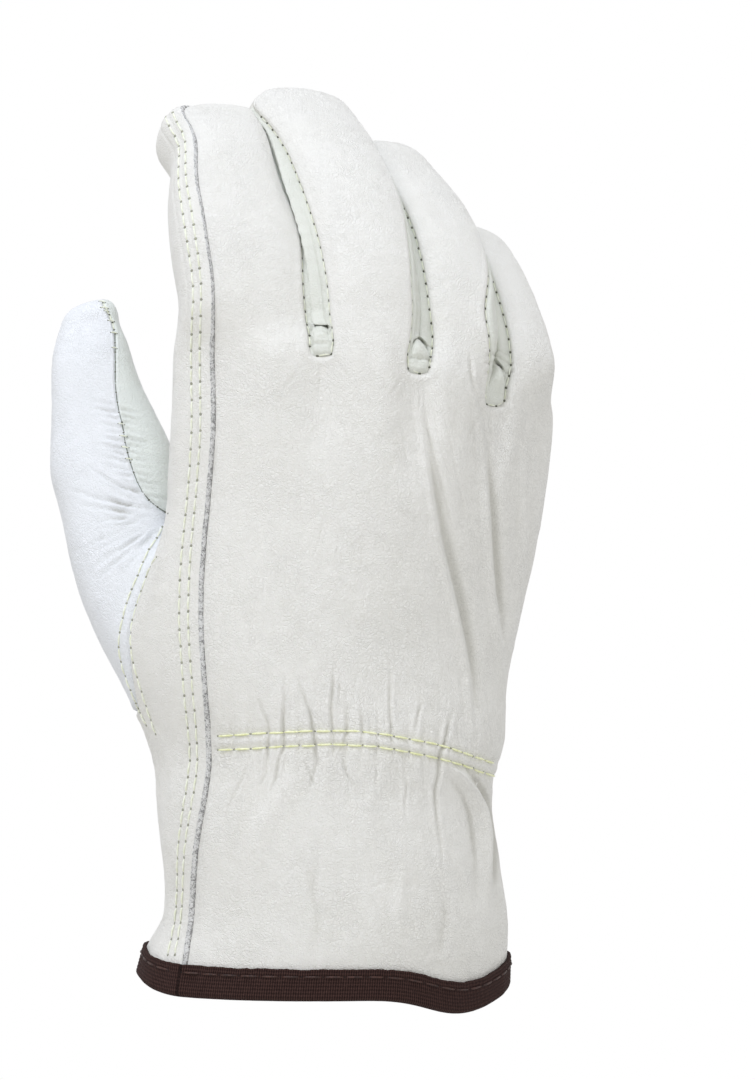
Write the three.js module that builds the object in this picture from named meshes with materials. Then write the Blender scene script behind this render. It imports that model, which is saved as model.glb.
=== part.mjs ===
// Leather driver glove for the right hand, worn shape, millimetres.
// +Z runs from the wrist opening to the fingertips, the back of the hand faces -Y,
// the thumb points to -X and the fingers curl towards +Y, the palm side.
// The glove is one skin of four-sided cells with named pieces on it. Each piece gets
// its wall thickness, and pieces that are sewn together keep a small gap.
import * as THREE from 'three';

// Driving dimensions
const leatherThickness = 1.2;
const pieceGap = 0.34;
const lapStep = 1.2;
const tapeThickness = 1.0;
const tapeOuterHeight = 8.0;
const tapeInnerHeight = 7.2;
const handPower = 0.8;
const fingerPower = 0.64;
const knuckleValley = 2.6;
const palmHollow = 2.0;
const gatherHeight = 63;
const gatherSpread = 13;
const gatherDepth = 0.8;
const cuffDip = { x: 38, width: 13, depth: 4.0, reach: 30 };
const domeAngles = [25, 50, 74];
const fingerSpread = { from: 95, over: 55 };
const sideAngles = { back: -24, palm: 27 };
const palmEdgeInset = 10;
const holeCorner = 4.5;
const thumbRoot = { below: 132, passes: 3, strength: 0.5 };
const fingerLapShare = 0.8;
const curveSteps = 40;
const gapRowStart = 13;
const gapRowSpan = 4;
const palmRowStart = 14;
const palmRowSpan = 3;

// Sections across the hand. left and right are the thumb-side and little-finger-side edges,
// mid and half the depth of the middle line and half the thickness there, bowThumb and
// bowLittle how far the middle line has moved towards the palm at the two edges.
const handSections = [
  { z: -4, left: -49.8, right: 49.0, mid: 1.0, half: 29.0, bowThumb: 6, bowLittle: 18 },
  { z: 8, left: -48.0, right: 49.0, mid: 1.0, half: 28.5, bowThumb: 6, bowLittle: 18 },
  { z: 18, left: -42.8, right: 49.4, mid: 1.0, half: 28.0, bowThumb: 6, bowLittle: 17 },
  { z: 27, left: -41.9, right: 47.6, mid: 1.0, half: 27.3, bowThumb: 6, bowLittle: 16 },
  { z: 38, left: -43.3, right: 46.6, mid: 1.0, half: 26.5, bowThumb: 6, bowLittle: 15 },
  { z: 50, left: -44.4, right: 44.9, mid: 1.0, half: 25.2, bowThumb: 7, bowLittle: 15 },
  { z: 58, left: -44.6, right: 46.6, mid: 1.0, half: 24.4, bowThumb: 8, bowLittle: 15 },
  { z: 66, left: -46.5, right: 48.6, mid: 1.2, half: 24.3, bowThumb: 9, bowLittle: 16 },
  { z: 78, left: -54.0, right: 48.8, mid: 1.5, half: 24.0, bowThumb: 11, bowLittle: 18 },
  { z: 90, left: -58.0, right: 51.2, mid: 1.5, half: 23.3, bowThumb: 12, bowLittle: 21 },
  { z: 102, left: -56.0, right: 54.0, mid: 1.3, half: 22.3, bowThumb: 11, bowLittle: 24 },
  { z: 114, left: -50.5, right: 56.8, mid: 0.8, half: 20.8, bowThumb: 8, bowLittle: 27 },
  { z: 126, left: -44.0, right: 59.2, mid: 0.3, half: 19.2, bowThumb: 5, bowLittle: 30 },
  { z: 136, left: -40.6, right: 60.6, mid: -0.5, half: 17.6, bowThumb: 3, bowLittle: 32 },
  { z: 146, left: -39.7, right: 61.6, mid: -1.0, half: 16.2, bowThumb: 2, bowLittle: 34 },
  { z: 156, left: -39.0, right: 62.1, mid: -1.2, half: 15.1, bowThumb: 2, bowLittle: 35 },
  { z: 166, left: -38.6, right: 62.0, mid: -1.2, half: 14.3, bowThumb: 2, bowLittle: 36 },
];

// Lines that run up the hand: the cut edge of the lap on the back, and the edge of the
// leather that the thumb is sewn to.
const edgeLines = [
  { z: -4, lap: -36.6, thumbEdge: -43.0 },
  { z: 8, lap: -34.8, thumbEdge: -42.0 },
  { z: 20, lap: -33.2, thumbEdge: -39.8 },
  { z: 38, lap: -31.8, thumbEdge: -40.6 },
  { z: 58, lap: -28.4, thumbEdge: -42.2 },
  { z: 66, lap: -28.2, thumbEdge: -44.8 },
  { z: 72, lap: -28.4, thumbEdge: -47.4 },
  { z: 78, lap: -28.7, thumbEdge: -50.0 },
  { z: 84, lap: -29.0, thumbEdge: -52.2 },
  { z: 90, lap: -29.4, thumbEdge: -53.5 },
  { z: 96, lap: -29.8, thumbEdge: -52.8 },
  { z: 102, lap: -30.0, thumbEdge: -51.2 },
  { z: 108, lap: -30.0, thumbEdge: -48.8 },
  { z: 114, lap: -29.8, thumbEdge: -46.0 },
  { z: 120, lap: -29.5, thumbEdge: -42.8 },
  { z: 128, lap: -29.1, thumbEdge: -39.6 },
  { z: 146, lap: -28.6, thumbEdge: -37.4 },
  { z: 166, lap: -29.2, thumbEdge: -36.6 },
];

// Rows of the hand from the cuff up, before the fingers' different lengths are added
const rowHeights = [0, 8.6, 18, 27, 36, 45, 52, 59, 66, 78, 90, 102, 114, 126, 136, 146, 156, 166];
const topHeight = 166;
const slopeStart = 66;
const thumbHoleRows = { from: 8, to: 13 };

// Lines on the back run from the lap edge (0) to the little-finger side (19), then round
// that side, over the palm and round the index side. The four finger gaps' lines and the
// height of the crotch are given where the fingers start.
const lineCount = 41;
const backLines = [
  { line: 0, x: -29.2, top: 166 },
  { line: 4, x: -3.6, top: 166 },
  { line: 5, x: 2.2, top: 166 },
  { line: 9, x: 22.4, top: 162 },
  { line: 10, x: 28.2, top: 162 },
  { line: 14, x: 43.0, top: 154 },
  { line: 15, x: 49.2, top: 154 },
  { line: 19, x: 59.4, top: 151 },
];
const palmLines = [
  { line: 23, x: 54.0, top: 150 },
  { line: 25, x: 41.4, top: 154 },
  { line: 26, x: 36.4, top: 154 },
  { line: 28, x: 21.4, top: 162 },
  { line: 29, x: 16.2, top: 162 },
  { line: 31, x: -3.0, top: 166 },
  { line: 32, x: -8.4, top: 166 },
  { line: 34, x: -31.5, top: 166 },
];
const lastBackLine = 19;
const firstPalmLine = 23;
const lastPalmLine = 34;
const thumbEdgeLine = 38;
const lapCrestLine = 40;
const lapCrestWidth = 0.8;
const gapLines = [4, 5, 9, 10, 14, 15, 25, 26, 28, 29, 31, 32];
const lapLift = { 38: 0.5, 39: 1, 40: 1 };

// Fingers: centre line, half width, half depth and roll at each station, and the angles
// round the section where the back and palm panels start and end.
const fingers = [
  {
    name: 'index',
    back: { from: -114, to: -26 },
    palm: { from: 46, to: 134 },
    domeLength: 8.5,
    stations: [
      { x: -20.6, y: 0.4, z: 166, wide: 17.2, deep: 13.2, roll: 14 },
      { x: -20.6, y: 3.0, z: 181, wide: 17.2, deep: 12.6, roll: 14 },
      { x: -23.1, y: 8.5, z: 196, wide: 17.0, deep: 12.0, roll: 14 },
      { x: -25.4, y: 16.0, z: 208.5, wide: 15.9, deep: 11.4, roll: 12 },
      { x: -28.4, y: 24.0, z: 219, wide: 14.7, deep: 10.8, roll: 10 },
      { x: -31.7, y: 31.0, z: 226, wide: 14.5, deep: 10.0, roll: 7 },
    ],
  },
  {
    name: 'middle',
    back: { from: -156, to: -28 },
    palm: { from: 46, to: 134 },
    domeLength: 9,
    stations: [
      { x: 11.2, y: -1.0, z: 165, wide: 12.4, deep: 12.8, roll: 14 },
      { x: 11.0, y: 2.0, z: 181, wide: 12.6, deep: 12.2, roll: 14 },
      { x: 9.2, y: 8.0, z: 195, wide: 13.0, deep: 11.6, roll: 13 },
      { x: 6.1, y: 17.0, z: 208.5, wide: 13.3, deep: 11.0, roll: 12 },
      { x: 1.2, y: 29.0, z: 221.5, wide: 13.2, deep: 10.4, roll: 10 },
      { x: -6.6, y: 43.0, z: 232, wide: 13.2, deep: 9.6, roll: 6 },
    ],
  },
  {
    name: 'ring',
    back: { from: -145, to: -28 },
    palm: { from: 46, to: 134 },
    domeLength: 8.5,
    stations: [
      { x: 35.4, y: 7.0, z: 158, wide: 10.4, deep: 11.2, roll: 22 },
      { x: 34.4, y: 10.5, z: 174, wide: 10.9, deep: 10.8, roll: 22 },
      { x: 32.7, y: 17.5, z: 188, wide: 11.0, deep: 10.4, roll: 22 },
      { x: 30.0, y: 27.0, z: 200, wide: 11.2, deep: 10.0, roll: 20 },
      { x: 25.2, y: 38.5, z: 211.5, wide: 11.3, deep: 9.4, roll: 17 },
      { x: 18.8, y: 49.5, z: 220, wide: 11.0, deep: 8.8, roll: 14 },
    ],
  },
  {
    name: 'little',
    back: { from: -142, to: -40 },
    palm: { from: 46, to: 134 },
    domeLength: 7.5,
    stations: [
      { x: 52.2, y: 21.0, z: 152, wide: 9.4, deep: 10.0, roll: 38 },
      { x: 51.8, y: 24.5, z: 166, wide: 9.5, deep: 9.8, roll: 38 },
      { x: 49.2, y: 31.0, z: 178, wide: 9.4, deep: 9.4, roll: 37 },
      { x: 45.6, y: 39.5, z: 188, wide: 9.2, deep: 9.0, roll: 36 },
      { x: 42.0, y: 48.0, z: 195.5, wide: 8.8, deep: 8.2, roll: 35 },
    ],
  },
];
const fingerFullness = 0.6;
const fingerRings = [0.035, 0.11, 0.2, 0.3, 0.41, 0.52, 0.64, 0.76, 0.88, 1.0];
const blendLength = 13;

// Thumb: centre line and section from its seam on the hand to the tip
const thumb = {
  domeLength: 7.5,
  domeFullness: 1.1,
  stations: [
    { x: -45.6, y: 15.0, z: 97, wide: 24.0, deep: 20, roll: 0 },
    { x: -53.0, y: 18.5, z: 113, wide: 15.8, deep: 15.5, roll: 0 },
    { x: -56.3, y: 21.5, z: 127, wide: 15.0, deep: 14.0, roll: 0 },
    { x: -58.0, y: 24.0, z: 140, wide: 15.4, deep: 13.0, roll: 0 },
    { x: -60.2, y: 26.5, z: 152, wide: 13.2, deep: 12.0, roll: 0 },
    { x: -61.4, y: 28.5, z: 162, wide: 11.6, deep: 11.0, roll: 0 },
    { x: -62.2, y: 30.5, z: 171, wide: 9.5, deep: 9.2, roll: 0 },
    { x: -62.8, y: 31.5, z: 175.5, wide: 7.8, deep: 7.8, roll: 0 },
  ],
  rings: [0.1, 0.2, 0.31, 0.42, 0.53, 0.64, 0.75, 0.86, 0.94, 1.0],
};

const radians = (degrees) => (degrees * Math.PI) / 180;
const clamp01 = (value) => Math.min(1, Math.max(0, value));
const smooth = (value) => clamp01(value) ** 2 * (3 - 2 * clamp01(value));
const bell = (value) => Math.exp(-(value ** 2));

// Smooth curve through the rows of a table, by the column named key
function sample(rows, key, at) {
  const last = rows.length - 1;
  let i = rows.findIndex((row) => row[key] > at) - 1;
  if (i < 0) i = at <= rows[0][key] ? 0 : last - 1;
  const a = rows[i];
  const b = rows[i + 1];
  const before = rows[Math.max(0, i - 1)];
  const after = rows[Math.min(last, i + 2)];
  const span = b[key] - a[key];
  const t = clamp01((at - a[key]) / span);
  const result = {};
  for (const name of Object.keys(a)) {
    const slopeA = ((b[name] - before[name]) / (b[key] - before[key])) * span;
    const slopeB = ((after[name] - a[name]) / (after[key] - a[key])) * span;
    const rise = b[name] - a[name];
    const c2 = 3 * rise - 2 * slopeA - slopeB;
    const c3 = slopeA + slopeB - 2 * rise;
    result[name] = a[name] + slopeA * t + c2 * t * t + c3 * t * t * t;
  }
  return result;
}

// Straight steps between the rows of a table, for lines between named lines
function between(rows, line, name) {
  let i = rows.findIndex((row) => row.line >= line);
  i = Math.max(1, i);
  const a = rows[i - 1];
  const b = rows[i];
  return a[name] + ((b[name] - a[name]) * (line - a.line)) / (b.line - a.line);
}

const signedPower = (value, power) => Math.sign(value) * Math.abs(value) ** power;

// Height of the finger base on each line round the hand
function topOf(line) {
  if (line <= lastBackLine) return between(backLines, line, 'top');
  if (line < firstPalmLine) {
    const t = (line - lastBackLine) / (firstPalmLine - lastBackLine);
    return backLines.at(-1).top + t * (palmLines[0].top - backLines.at(-1).top);
  }
  if (line <= lastPalmLine) return between(palmLines, line, 'top');
  return topHeight;
}

// The thumb's seam is rounded at its four corners
function holeRounding(line, row) {
  const middle = (lastPalmLine + thumbEdgeLine) / 2;
  const away = Math.abs(line - middle) - 1;
  if (away > 1 || away < 0) return 0;
  if (row === thumbHoleRows.to) return -holeCorner * away;
  return row === thumbHoleRows.from ? holeCorner * away : 0;
}

function sectionPoint(section, angle) {
  const centre = (section.left + section.right) / 2;
  const halfWidth = (section.right - section.left) / 2;
  const across = signedPower(Math.cos(angle), handPower);
  const bow = across > 0 ? section.bowLittle : section.bowThumb;
  const middle = section.mid + bow * across ** 2;
  return {
    x: centre + halfWidth * across,
    y: middle + section.half * signedPower(Math.sin(angle), handPower),
  };
}

function angleOnBack(section, x) {
  const centre = (section.left + section.right) / 2;
  const halfWidth = (section.right - section.left) / 2;
  const across = Math.max(-0.999, Math.min(0.999, (x - centre) / halfWidth));
  return -Math.acos(signedPower(across, 1 / handPower));
}

// Angle round the hand's section for a line, evenly spread at the cuff and held to the
// finger gaps at the top
function lineAngle(section, edges, line, z) {
  const toFingers = smooth((z - fingerSpread.from) / fingerSpread.over);
  const sideBack = radians(sideAngles.back);
  const sidePalm = radians(sideAngles.palm);
  if (line <= lastBackLine) {
    const endX = sectionPoint(section, sideBack).x;
    const evenX = edges.lap + ((endX - edges.lap) * line) / lastBackLine;
    const scale = (endX - edges.lap) / (backLines.at(-1).x - backLines[0].x);
    const fingerX = edges.lap + (between(backLines, line, 'x') - backLines[0].x) * scale;
    return angleOnBack(section, evenX + (fingerX - evenX) * toFingers);
  }
  if (line < firstPalmLine) {
    const t = (line - lastBackLine) / (firstPalmLine - lastBackLine);
    return sideBack + t * (sidePalm - sideBack);
  }
  if (line <= lastPalmLine) {
    const t = (line - firstPalmLine) / (lastPalmLine - firstPalmLine);
    const startX = sectionPoint(section, sidePalm).x;
    const endX = section.left + palmEdgeInset;
    const evenX = startX + (endX - startX) * t;
    const scale = (endX - startX) / (palmLines.at(-1).x - palmLines[0].x);
    const fingerX = startX + (between(palmLines, line, 'x') - palmLines[0].x) * scale;
    return -angleOnBack(section, evenX + (fingerX - evenX) * toFingers);
  }
  const palmEnd = -angleOnBack(section, section.left + palmEdgeInset);
  const thumbEdge = angleOnBack(section, edges.thumbEdge) + 2 * Math.PI;
  const lapEdge = angleOnBack(section, edges.lap - lapCrestWidth) + 2 * Math.PI;
  if (line <= thumbEdgeLine) {
    return palmEnd + ((thumbEdge - palmEnd) * (line - lastPalmLine)) / (thumbEdgeLine - lastPalmLine);
  }
  return thumbEdge + ((lapEdge - thumbEdge) * (line - thumbEdgeLine)) / (lapCrestLine - thumbEdgeLine);
}

function handPoint(line, row) {
  const height = rowHeights[row];
  const slope = smooth((height - slopeStart) / (topHeight - slopeStart));
  const z = height + slope * (topOf(line) - topHeight) + holeRounding(line, row);
  const section = sample(handSections, 'z', z);
  const edges = sample(edgeLines, 'z', z);
  const point = sectionPoint(section, lineAngle(section, edges, line, z));
  const onBack = line <= lastBackLine;
  if (gapLines.includes(line)) {
    const towardsMiddle = onBack ? 1 : -1;
    point.y += towardsMiddle * knuckleValley * smooth((row - gapRowStart) / gapRowSpan);
  }
  if (line > lastBackLine && line < lastPalmLine) {
    point.y -= palmHollow * smooth((row - palmRowStart) / palmRowSpan);
  }
  if (onBack && line > 0) {
    const ripple = line % 2 ? 1 : -1;
    point.y += ripple * gatherDepth * bell((z - gatherHeight) / gatherSpread);
  }
  const dip = onBack ? cuffDip.depth * bell((point.x - cuffDip.x) / cuffDip.width) : 0;
  const nearCuff = smooth(1 - height / cuffDip.reach);
  return new THREE.Vector3(point.x, point.y, z - dip * nearCuff);
}

// The skin: corner points and four-sided cells, each cell with the piece it belongs to
const corners = [];
const cells = [];
const addCorner = (point) => corners.push(point) - 1;
const addCell = (piece, ...loop) => cells.push({ piece, loop });

const hand = rowHeights.map((height, row) =>
  Array.from({ length: lineCount }, (unused, line) => addCorner(handPoint(line, row))),
);
const topRow = hand.at(-1);

function buildHand() {
  for (let row = 0; row + 1 < rowHeights.length; row += 1) {
    const beside = row >= thumbHoleRows.from && row < thumbHoleRows.to;
    for (let line = 0; line < lineCount; line += 1) {
      const open = beside && line >= lastPalmLine && line < thumbEdgeLine;
      const next = (line + 1) % lineCount;
      const loop = [hand[row][line], hand[row][next], hand[row + 1][next], hand[row + 1][line]];
      if (!open) addCell('hand_leather', ...loop);
    }
  }
}

// The floor of each gap between two fingers, four cells deep from the back to the palm
const gaps = [
  { piece: 'fourchette_index', back: [4, 5], palm: [32, 31] },
  { piece: 'fourchette_middle_ulnar', back: [9, 10], palm: [29, 28] },
  { piece: 'fourchette_ring_ulnar', back: [14, 15], palm: [26, 25] },
];
const gapDepthCells = 4;
const gapFloorRise = 5.5;

function buildGap(gap) {
  const sides = gap.back.map((line, side) => {
    const from = corners[topRow[line]];
    const to = corners[topRow[gap.palm[side]]];
    const inner = [1, 2, 3].map((step) => {
      const t = step / gapDepthCells;
      const point = from.clone().lerp(to, t);
      point.z += gapFloorRise * Math.sin(Math.PI * t);
      return addCorner(point);
    });
    return [topRow[line], ...inner, topRow[gap.palm[side]]];
  });
  for (let step = 0; step < gapDepthCells; step += 1) {
    addCell(gap.piece, sides[0][step], sides[1][step], sides[1][step + 1], sides[0][step + 1]);
  }
  return { left: sides[0], right: sides[1] };
}

// A smooth curve through the stations with the section's own axes at each place
function frameAt(stations, curve, t) {
  const centre = curve.getPointAt(t);
  const along = curve.getTangentAt(t);
  const lengths = stationPlaces(stations, curve);
  const section = sample(lengths, 't', t);
  const across = new THREE.Vector3(1, 0, 0);
  across.addScaledVector(along, -across.dot(along)).normalize();
  const depth = new THREE.Vector3().crossVectors(along, across);
  return { centre, along, across, depth, section };
}

function stationPlaces(stations, curve) {
  const total = curve.getLength();
  const last = stations.length - 1;
  const lengths = curve.getLengths(last * curveSteps);
  return stations.map((station, i) => ({ ...station, t: lengths[i * curveSteps] / total }));
}

function sectionCorner(frame, angle, grow = 1) {
  const { centre, across, depth, section } = frame;
  const turn = radians(section.roll);
  const wide = section.wide * grow * signedPower(Math.cos(angle), fingerPower);
  const deep = section.deep * grow * signedPower(Math.sin(angle), fingerPower);
  return centre
    .clone()
    .addScaledVector(across, wide * Math.cos(turn) - deep * Math.sin(turn))
    .addScaledVector(depth, wide * Math.sin(turn) + deep * Math.cos(turn));
}

// Rings of corners from a starting loop to a rounded tip, closed by a fan
function buildTube({ loop, angles, stations, rings, domeLength, domeFullness, pieceOf, lift }) {
  const points = stations.map((station) => new THREE.Vector3(station.x, station.y, station.z));
  const curve = new THREE.CatmullRomCurve3(points, false, 'centripetal');
  const total = curve.getLength();
  let ring = loop;
  let level = 0;
  const join = (next) => {
    ring.forEach((corner, i) => {
      const j = (i + 1) % ring.length;
      addCell(pieceOf(i, level), corner, ring[j], next[j], next[i]);
    });
    ring = next;
    level += 1;
  };
  for (const t of rings) {
    const frame = frameAt(stations, curve, t);
    const blend = smooth((t * total) / blendLength);
    join(angles.map((angle, i) => {
      const start = corners[loop[i]].clone().addScaledVector(frame.along, t * total);
      const point = start.lerp(sectionCorner(frame, angle), blend);
      const outward = point.clone().sub(frame.centre).normalize();
      return addCorner(point.addScaledVector(outward, lift(i)));
    }));
  }
  const tip = frameAt(stations, curve, 1);
  for (const degrees of domeAngles) {
    const centre = tip.centre.clone().addScaledVector(tip.along, domeLength * Math.sin(radians(degrees)));
    const grow = Math.cos(radians(degrees)) ** domeFullness;
    join(angles.map((angle) => addCorner(sectionCorner({ ...tip, centre }, angle, grow))));
  }
  const pole = addCorner(tip.centre.clone().addScaledVector(tip.along, domeLength));
  ring.forEach((corner, i) => addCell(pieceOf(i, level), corner, ring[(i + 1) % ring.length], pole));
}

const spread = (from, to, steps) =>
  Array.from({ length: steps }, (unused, i) => radians(from + ((to - from) * i) / steps));

// Each finger starts on a loop: back lines, the far wall, palm lines and the near wall
function buildFinger(finger, spec) {
  const { farWall, nearWall, backStart, palmStart, farPiece, nearPiece, firstPiece } = spec;
  const back = [0, 1, 2, 3, 4].map((i) => topRow[backStart + i]);
  const palm = [0, 1, 2].map((i) => topRow[palmStart + i]);
  const loop = [...back, ...farWall, ...palm, ...nearWall];
  const farSteps = farWall.length + 1;
  const nearSteps = nearWall.length + 1;
  const angles = [
    ...spread(finger.back.from, finger.back.to, 4),
    ...spread(finger.back.to, finger.palm.from, farSteps),
    ...spread(finger.palm.from, finger.palm.to, 2),
    ...spread(finger.palm.to, finger.back.from + 360, nearSteps),
  ];
  const stripTop = fingerRings.length + 1;
  const pieceOf = (i, level) => {
    const onFar = i >= 4 && i < 4 + farSteps;
    const onNear = i >= 6 + farSteps;
    if (level >= stripTop) return 'hand_leather';
    if (onFar && farPiece) return farPiece;
    if (onNear && nearPiece) return level === 0 ? firstPiece : nearPiece;
    return 'hand_leather';
  };
  const isIndex = finger.name === 'index';
  const lift = (i) => (isIndex && i > loop.length - 3 ? lapStep * fingerLapShare : 0);
  const shape = { ...finger, domeFullness: fingerFullness, rings: fingerRings };
  buildTube({ loop, angles, ...shape, pieceOf, lift });
}

function buildThumb() {
  const { from, to } = thumbHoleRows;
  const lines = [34, 35, 36, 37, 38];
  const top = lines.map((line) => hand[to][line]);
  const backEdge = [];
  for (let row = to - 1; row > from; row -= 1) backEdge.push(hand[row][thumbEdgeLine]);
  const bottom = lines.map((line) => hand[from][line]).reverse();
  const palmEdge = [];
  for (let row = from + 1; row < to; row += 1) palmEdge.push(hand[row][lastPalmLine]);
  const loop = [...top, ...backEdge, ...bottom, ...palmEdge].reverse();
  const angles = thumbAngles(loop.length, top.length);
  buildTube({ loop, angles, ...thumb, pieceOf: () => 'thumb_leather', lift: () => 0 });
}

// The loop starts at the palm edge just below the top and goes down the palm side, so its
// angles run from the palm over the outer side and the back to the inner side.
function thumbAngles(count, topCount) {
  const middleOfTop = count - topCount + (topCount - 1) / 2;
  return Array.from({ length: count }, (unused, i) => ((i - middleOfTop) * 2 * Math.PI) / count);
}

function buildSkin() {
  buildHand();
  const floors = gaps.map(buildGap);
  const inner = (side) => side.slice(1, -1);
  const reversed = (side) => inner(side).reverse();
  const [gap1, gap2, gap3] = floors;
  const indexSide = [35, 36, 37, 38, 39, 40].map((line) => topRow[line]);
  const littleSide = [20, 21, 22].map((line) => topRow[line]);
  buildFinger(fingers[0], {
    backStart: 0, palmStart: 32, farWall: inner(gap1.left), nearWall: indexSide,
    farPiece: 'fourchette_index',
  });
  buildFinger(fingers[1], {
    backStart: 5, palmStart: 29, farWall: inner(gap2.left), nearWall: reversed(gap1.right),
    farPiece: 'fourchette_middle_ulnar', nearPiece: 'fourchette_middle_radial',
    firstPiece: 'fourchette_index',
  });
  buildFinger(fingers[2], {
    backStart: 10, palmStart: 26, farWall: inner(gap3.left), nearWall: reversed(gap2.right),
    farPiece: 'fourchette_ring_ulnar', nearPiece: 'fourchette_ring_radial',
    firstPiece: 'fourchette_middle_ulnar',
  });
  buildFinger(fingers[3], {
    backStart: 15, palmStart: 23, farWall: littleSide, nearWall: reversed(gap3.right),
    nearPiece: 'fourchette_little', firstPiece: 'fourchette_ring_ulnar',
  });
  buildThumb();
}

buildSkin();

const newell = (loop) => {
  const normal = new THREE.Vector3();
  loop.forEach((corner, i) => {
    const a = corners[corner];
    const b = corners[loop[(i + 1) % loop.length]];
    normal.x += (a.y - b.y) * (a.z + b.z);
    normal.y += (a.z - b.z) * (a.x + b.x);
    normal.z += (a.x - b.x) * (a.y + b.y);
  });
  return normal;
};

// Neighbouring corners pull each other level where the tubes meet the hand
function relax(chosen, passes, strength) {
  const neighbours = corners.map(() => new Set());
  cells.forEach(({ loop }) => loop.forEach((corner, i) => {
    const next = loop[(i + 1) % loop.length];
    neighbours[corner].add(next);
    neighbours[next].add(corner);
  }));
  for (let pass = 0; pass < passes; pass += 1) {
    const moved = [...chosen].map((corner) => {
      const mean = new THREE.Vector3();
      neighbours[corner].forEach((other) => mean.add(corners[other]));
      mean.divideScalar(neighbours[corner].size);
      return [corner, corners[corner].clone().lerp(mean, strength)];
    });
    moved.forEach(([corner, point]) => corners[corner].copy(point));
  }
}

const thumbCells = cells.filter((cell) => cell.piece === 'thumb_leather');
const thumbCorners = new Set(thumbCells.flatMap((cell) => cell.loop));
const rooted = [...thumbCorners].filter((corner) => corners[corner].z < thumbRoot.below);
relax(rooted, thumbRoot.passes, thumbRoot.strength);

const normals = corners.map(() => new THREE.Vector3());
cells.forEach(({ loop }) => {
  const normal = newell(loop);
  loop.forEach((corner) => normals[corner].add(normal));
});
normals.forEach((normal) => normal.normalize());

// The lapped leather stands proud of the back by its own thickness
hand.forEach((row) => Object.entries(lapLift).forEach(([line, share]) => {
  corners[row[line]].addScaledVector(normals[row[line]], lapStep * share);
}));

// One wall of leather: the outer cells, the same cells moved inwards and the rim between
// them, drawn back along the seams by half a gap
function wallOf(pieceName) {
  const own = cells.filter((cell) => cell.piece === pieceName);
  const edges = new Map();
  own.forEach(({ loop }) => loop.forEach((a, i) => {
    const b = loop[(i + 1) % loop.length];
    edges.set(`${a},${b}`, [a, b, loop]);
  }));
  const rim = [...edges.values()].filter(([a, b]) => !edges.has(`${b},${a}`));
  const draw = new Map();
  rim.forEach(([a, b, loop]) => {
    const edge = corners[b].clone().sub(corners[a]);
    const inward = newell(loop).cross(edge).normalize();
    [a, b].forEach((corner) => {
      if (!draw.has(corner)) draw.set(corner, []);
      draw.get(corner).push(inward);
    });
  });
  const positions = [];
  const index = new Map();
  const place = (corner, inside) => {
    const key = `${corner},${inside}`;
    if (index.has(key)) return index.get(key);
    const point = corners[corner].clone();
    if (draw.has(corner)) {
      const sum = draw.get(corner).reduce((total, vector) => total.add(vector), new THREE.Vector3());
      const mitre = Math.max(0.5, sum.length() / draw.get(corner).length);
      point.addScaledVector(sum.normalize(), pieceGap / 2 / mitre);
    }
    if (inside) point.addScaledVector(normals[corner], -leatherThickness);
    index.set(key, positions.push(point) - 1);
    return positions.length - 1;
  };
  const triangles = [];
  const cover = (loop, inside) => {
    const ids = loop.map((corner) => place(corner, inside));
    if (ids.length === 3) {
      triangles.push(inside ? ids.reverse() : ids);
      return;
    }
    const outer = loop.map((corner) => corners[corner]);
    const start = outer[0].distanceTo(outer[2]) < outer[1].distanceTo(outer[3]) ? 0 : 1;
    const [a, b, c, d] = [0, 1, 2, 3].map((i) => ids[(i + start) % 4]);
    if (inside) triangles.push([c, b, a], [d, c, a]);
    else triangles.push([a, b, c], [a, c, d]);
  };
  own.forEach(({ loop }) => {
    cover(loop, false);
    cover(loop, true);
  });
  rim.forEach(([a, b]) => {
    const [a0, b0] = [place(a, false), place(b, false)];
    const [a1, b1] = [place(a, true), place(b, true)];
    if (a < b) triangles.push([b0, a0, a1], [b0, a1, b1]);
    else triangles.push([b0, a0, b1], [a0, a1, b1]);
  });
  return { positions, triangles };
}

// The woven tape is folded round the cuff's edge: a closed profile carried round the hand
function tapeRing() {
  const outside = pieceGap;
  const inside = -leatherThickness - pieceGap;
  const profile = [
    { out: outside + tapeThickness, up: tapeOuterHeight },
    { out: outside + tapeThickness, up: -pieceGap - tapeThickness },
    { out: inside - tapeThickness, up: -pieceGap - tapeThickness },
    { out: inside - tapeThickness, up: tapeInnerHeight },
    { out: inside, up: tapeInnerHeight },
    { out: inside, up: -pieceGap },
    { out: outside, up: -pieceGap },
    { out: outside, up: tapeOuterHeight },
  ];
  const positions = [];
  const triangles = [];
  const count = profile.length;
  const ring = hand[0];
  ring.forEach((corner, i) => {
    const above = hand[1][i];
    const up = corners[above].clone().sub(corners[corner]).normalize();
    const out = normals[corner].clone().addScaledVector(up, -normals[corner].dot(up)).normalize();
    profile.forEach((place) => {
      const point = corners[corner].clone().addScaledVector(out, place.out).addScaledVector(up, place.up);
      positions.push(point);
    });
    const next = (i + 1) % ring.length;
    for (let k = 0; k < count; k += 1) {
      const l = (k + 1) % count;
      const [a, b] = [i * count + k, next * count + k];
      const [c, d] = [next * count + l, i * count + l];
      triangles.push([a, d, c], [a, c, b]);
    }
  });
  return { positions, triangles };
}

const leather = (color) => new THREE.MeshStandardMaterial({ color, roughness: 0.62, metalness: 0 });
const backLeather = leather(0xe4e3db);
const thumbLeather = leather(0xe6ebf0);
const wallLeather = leather(0xdddbd0);
const tape = new THREE.MeshStandardMaterial({ color: 0x3e2622, roughness: 0.9, metalness: 0 });

function meshOf(name, { positions, triangles }, material) {
  const geometry = new THREE.BufferGeometry();
  const flat = positions.flatMap((point) => point.toArray());
  geometry.setAttribute('position', new THREE.Float32BufferAttribute(flat, 3));
  geometry.setIndex(triangles.flat());
  geometry.computeVertexNormals();
  const mesh = new THREE.Mesh(geometry, material);
  mesh.name = name;
  return mesh;
}

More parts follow.
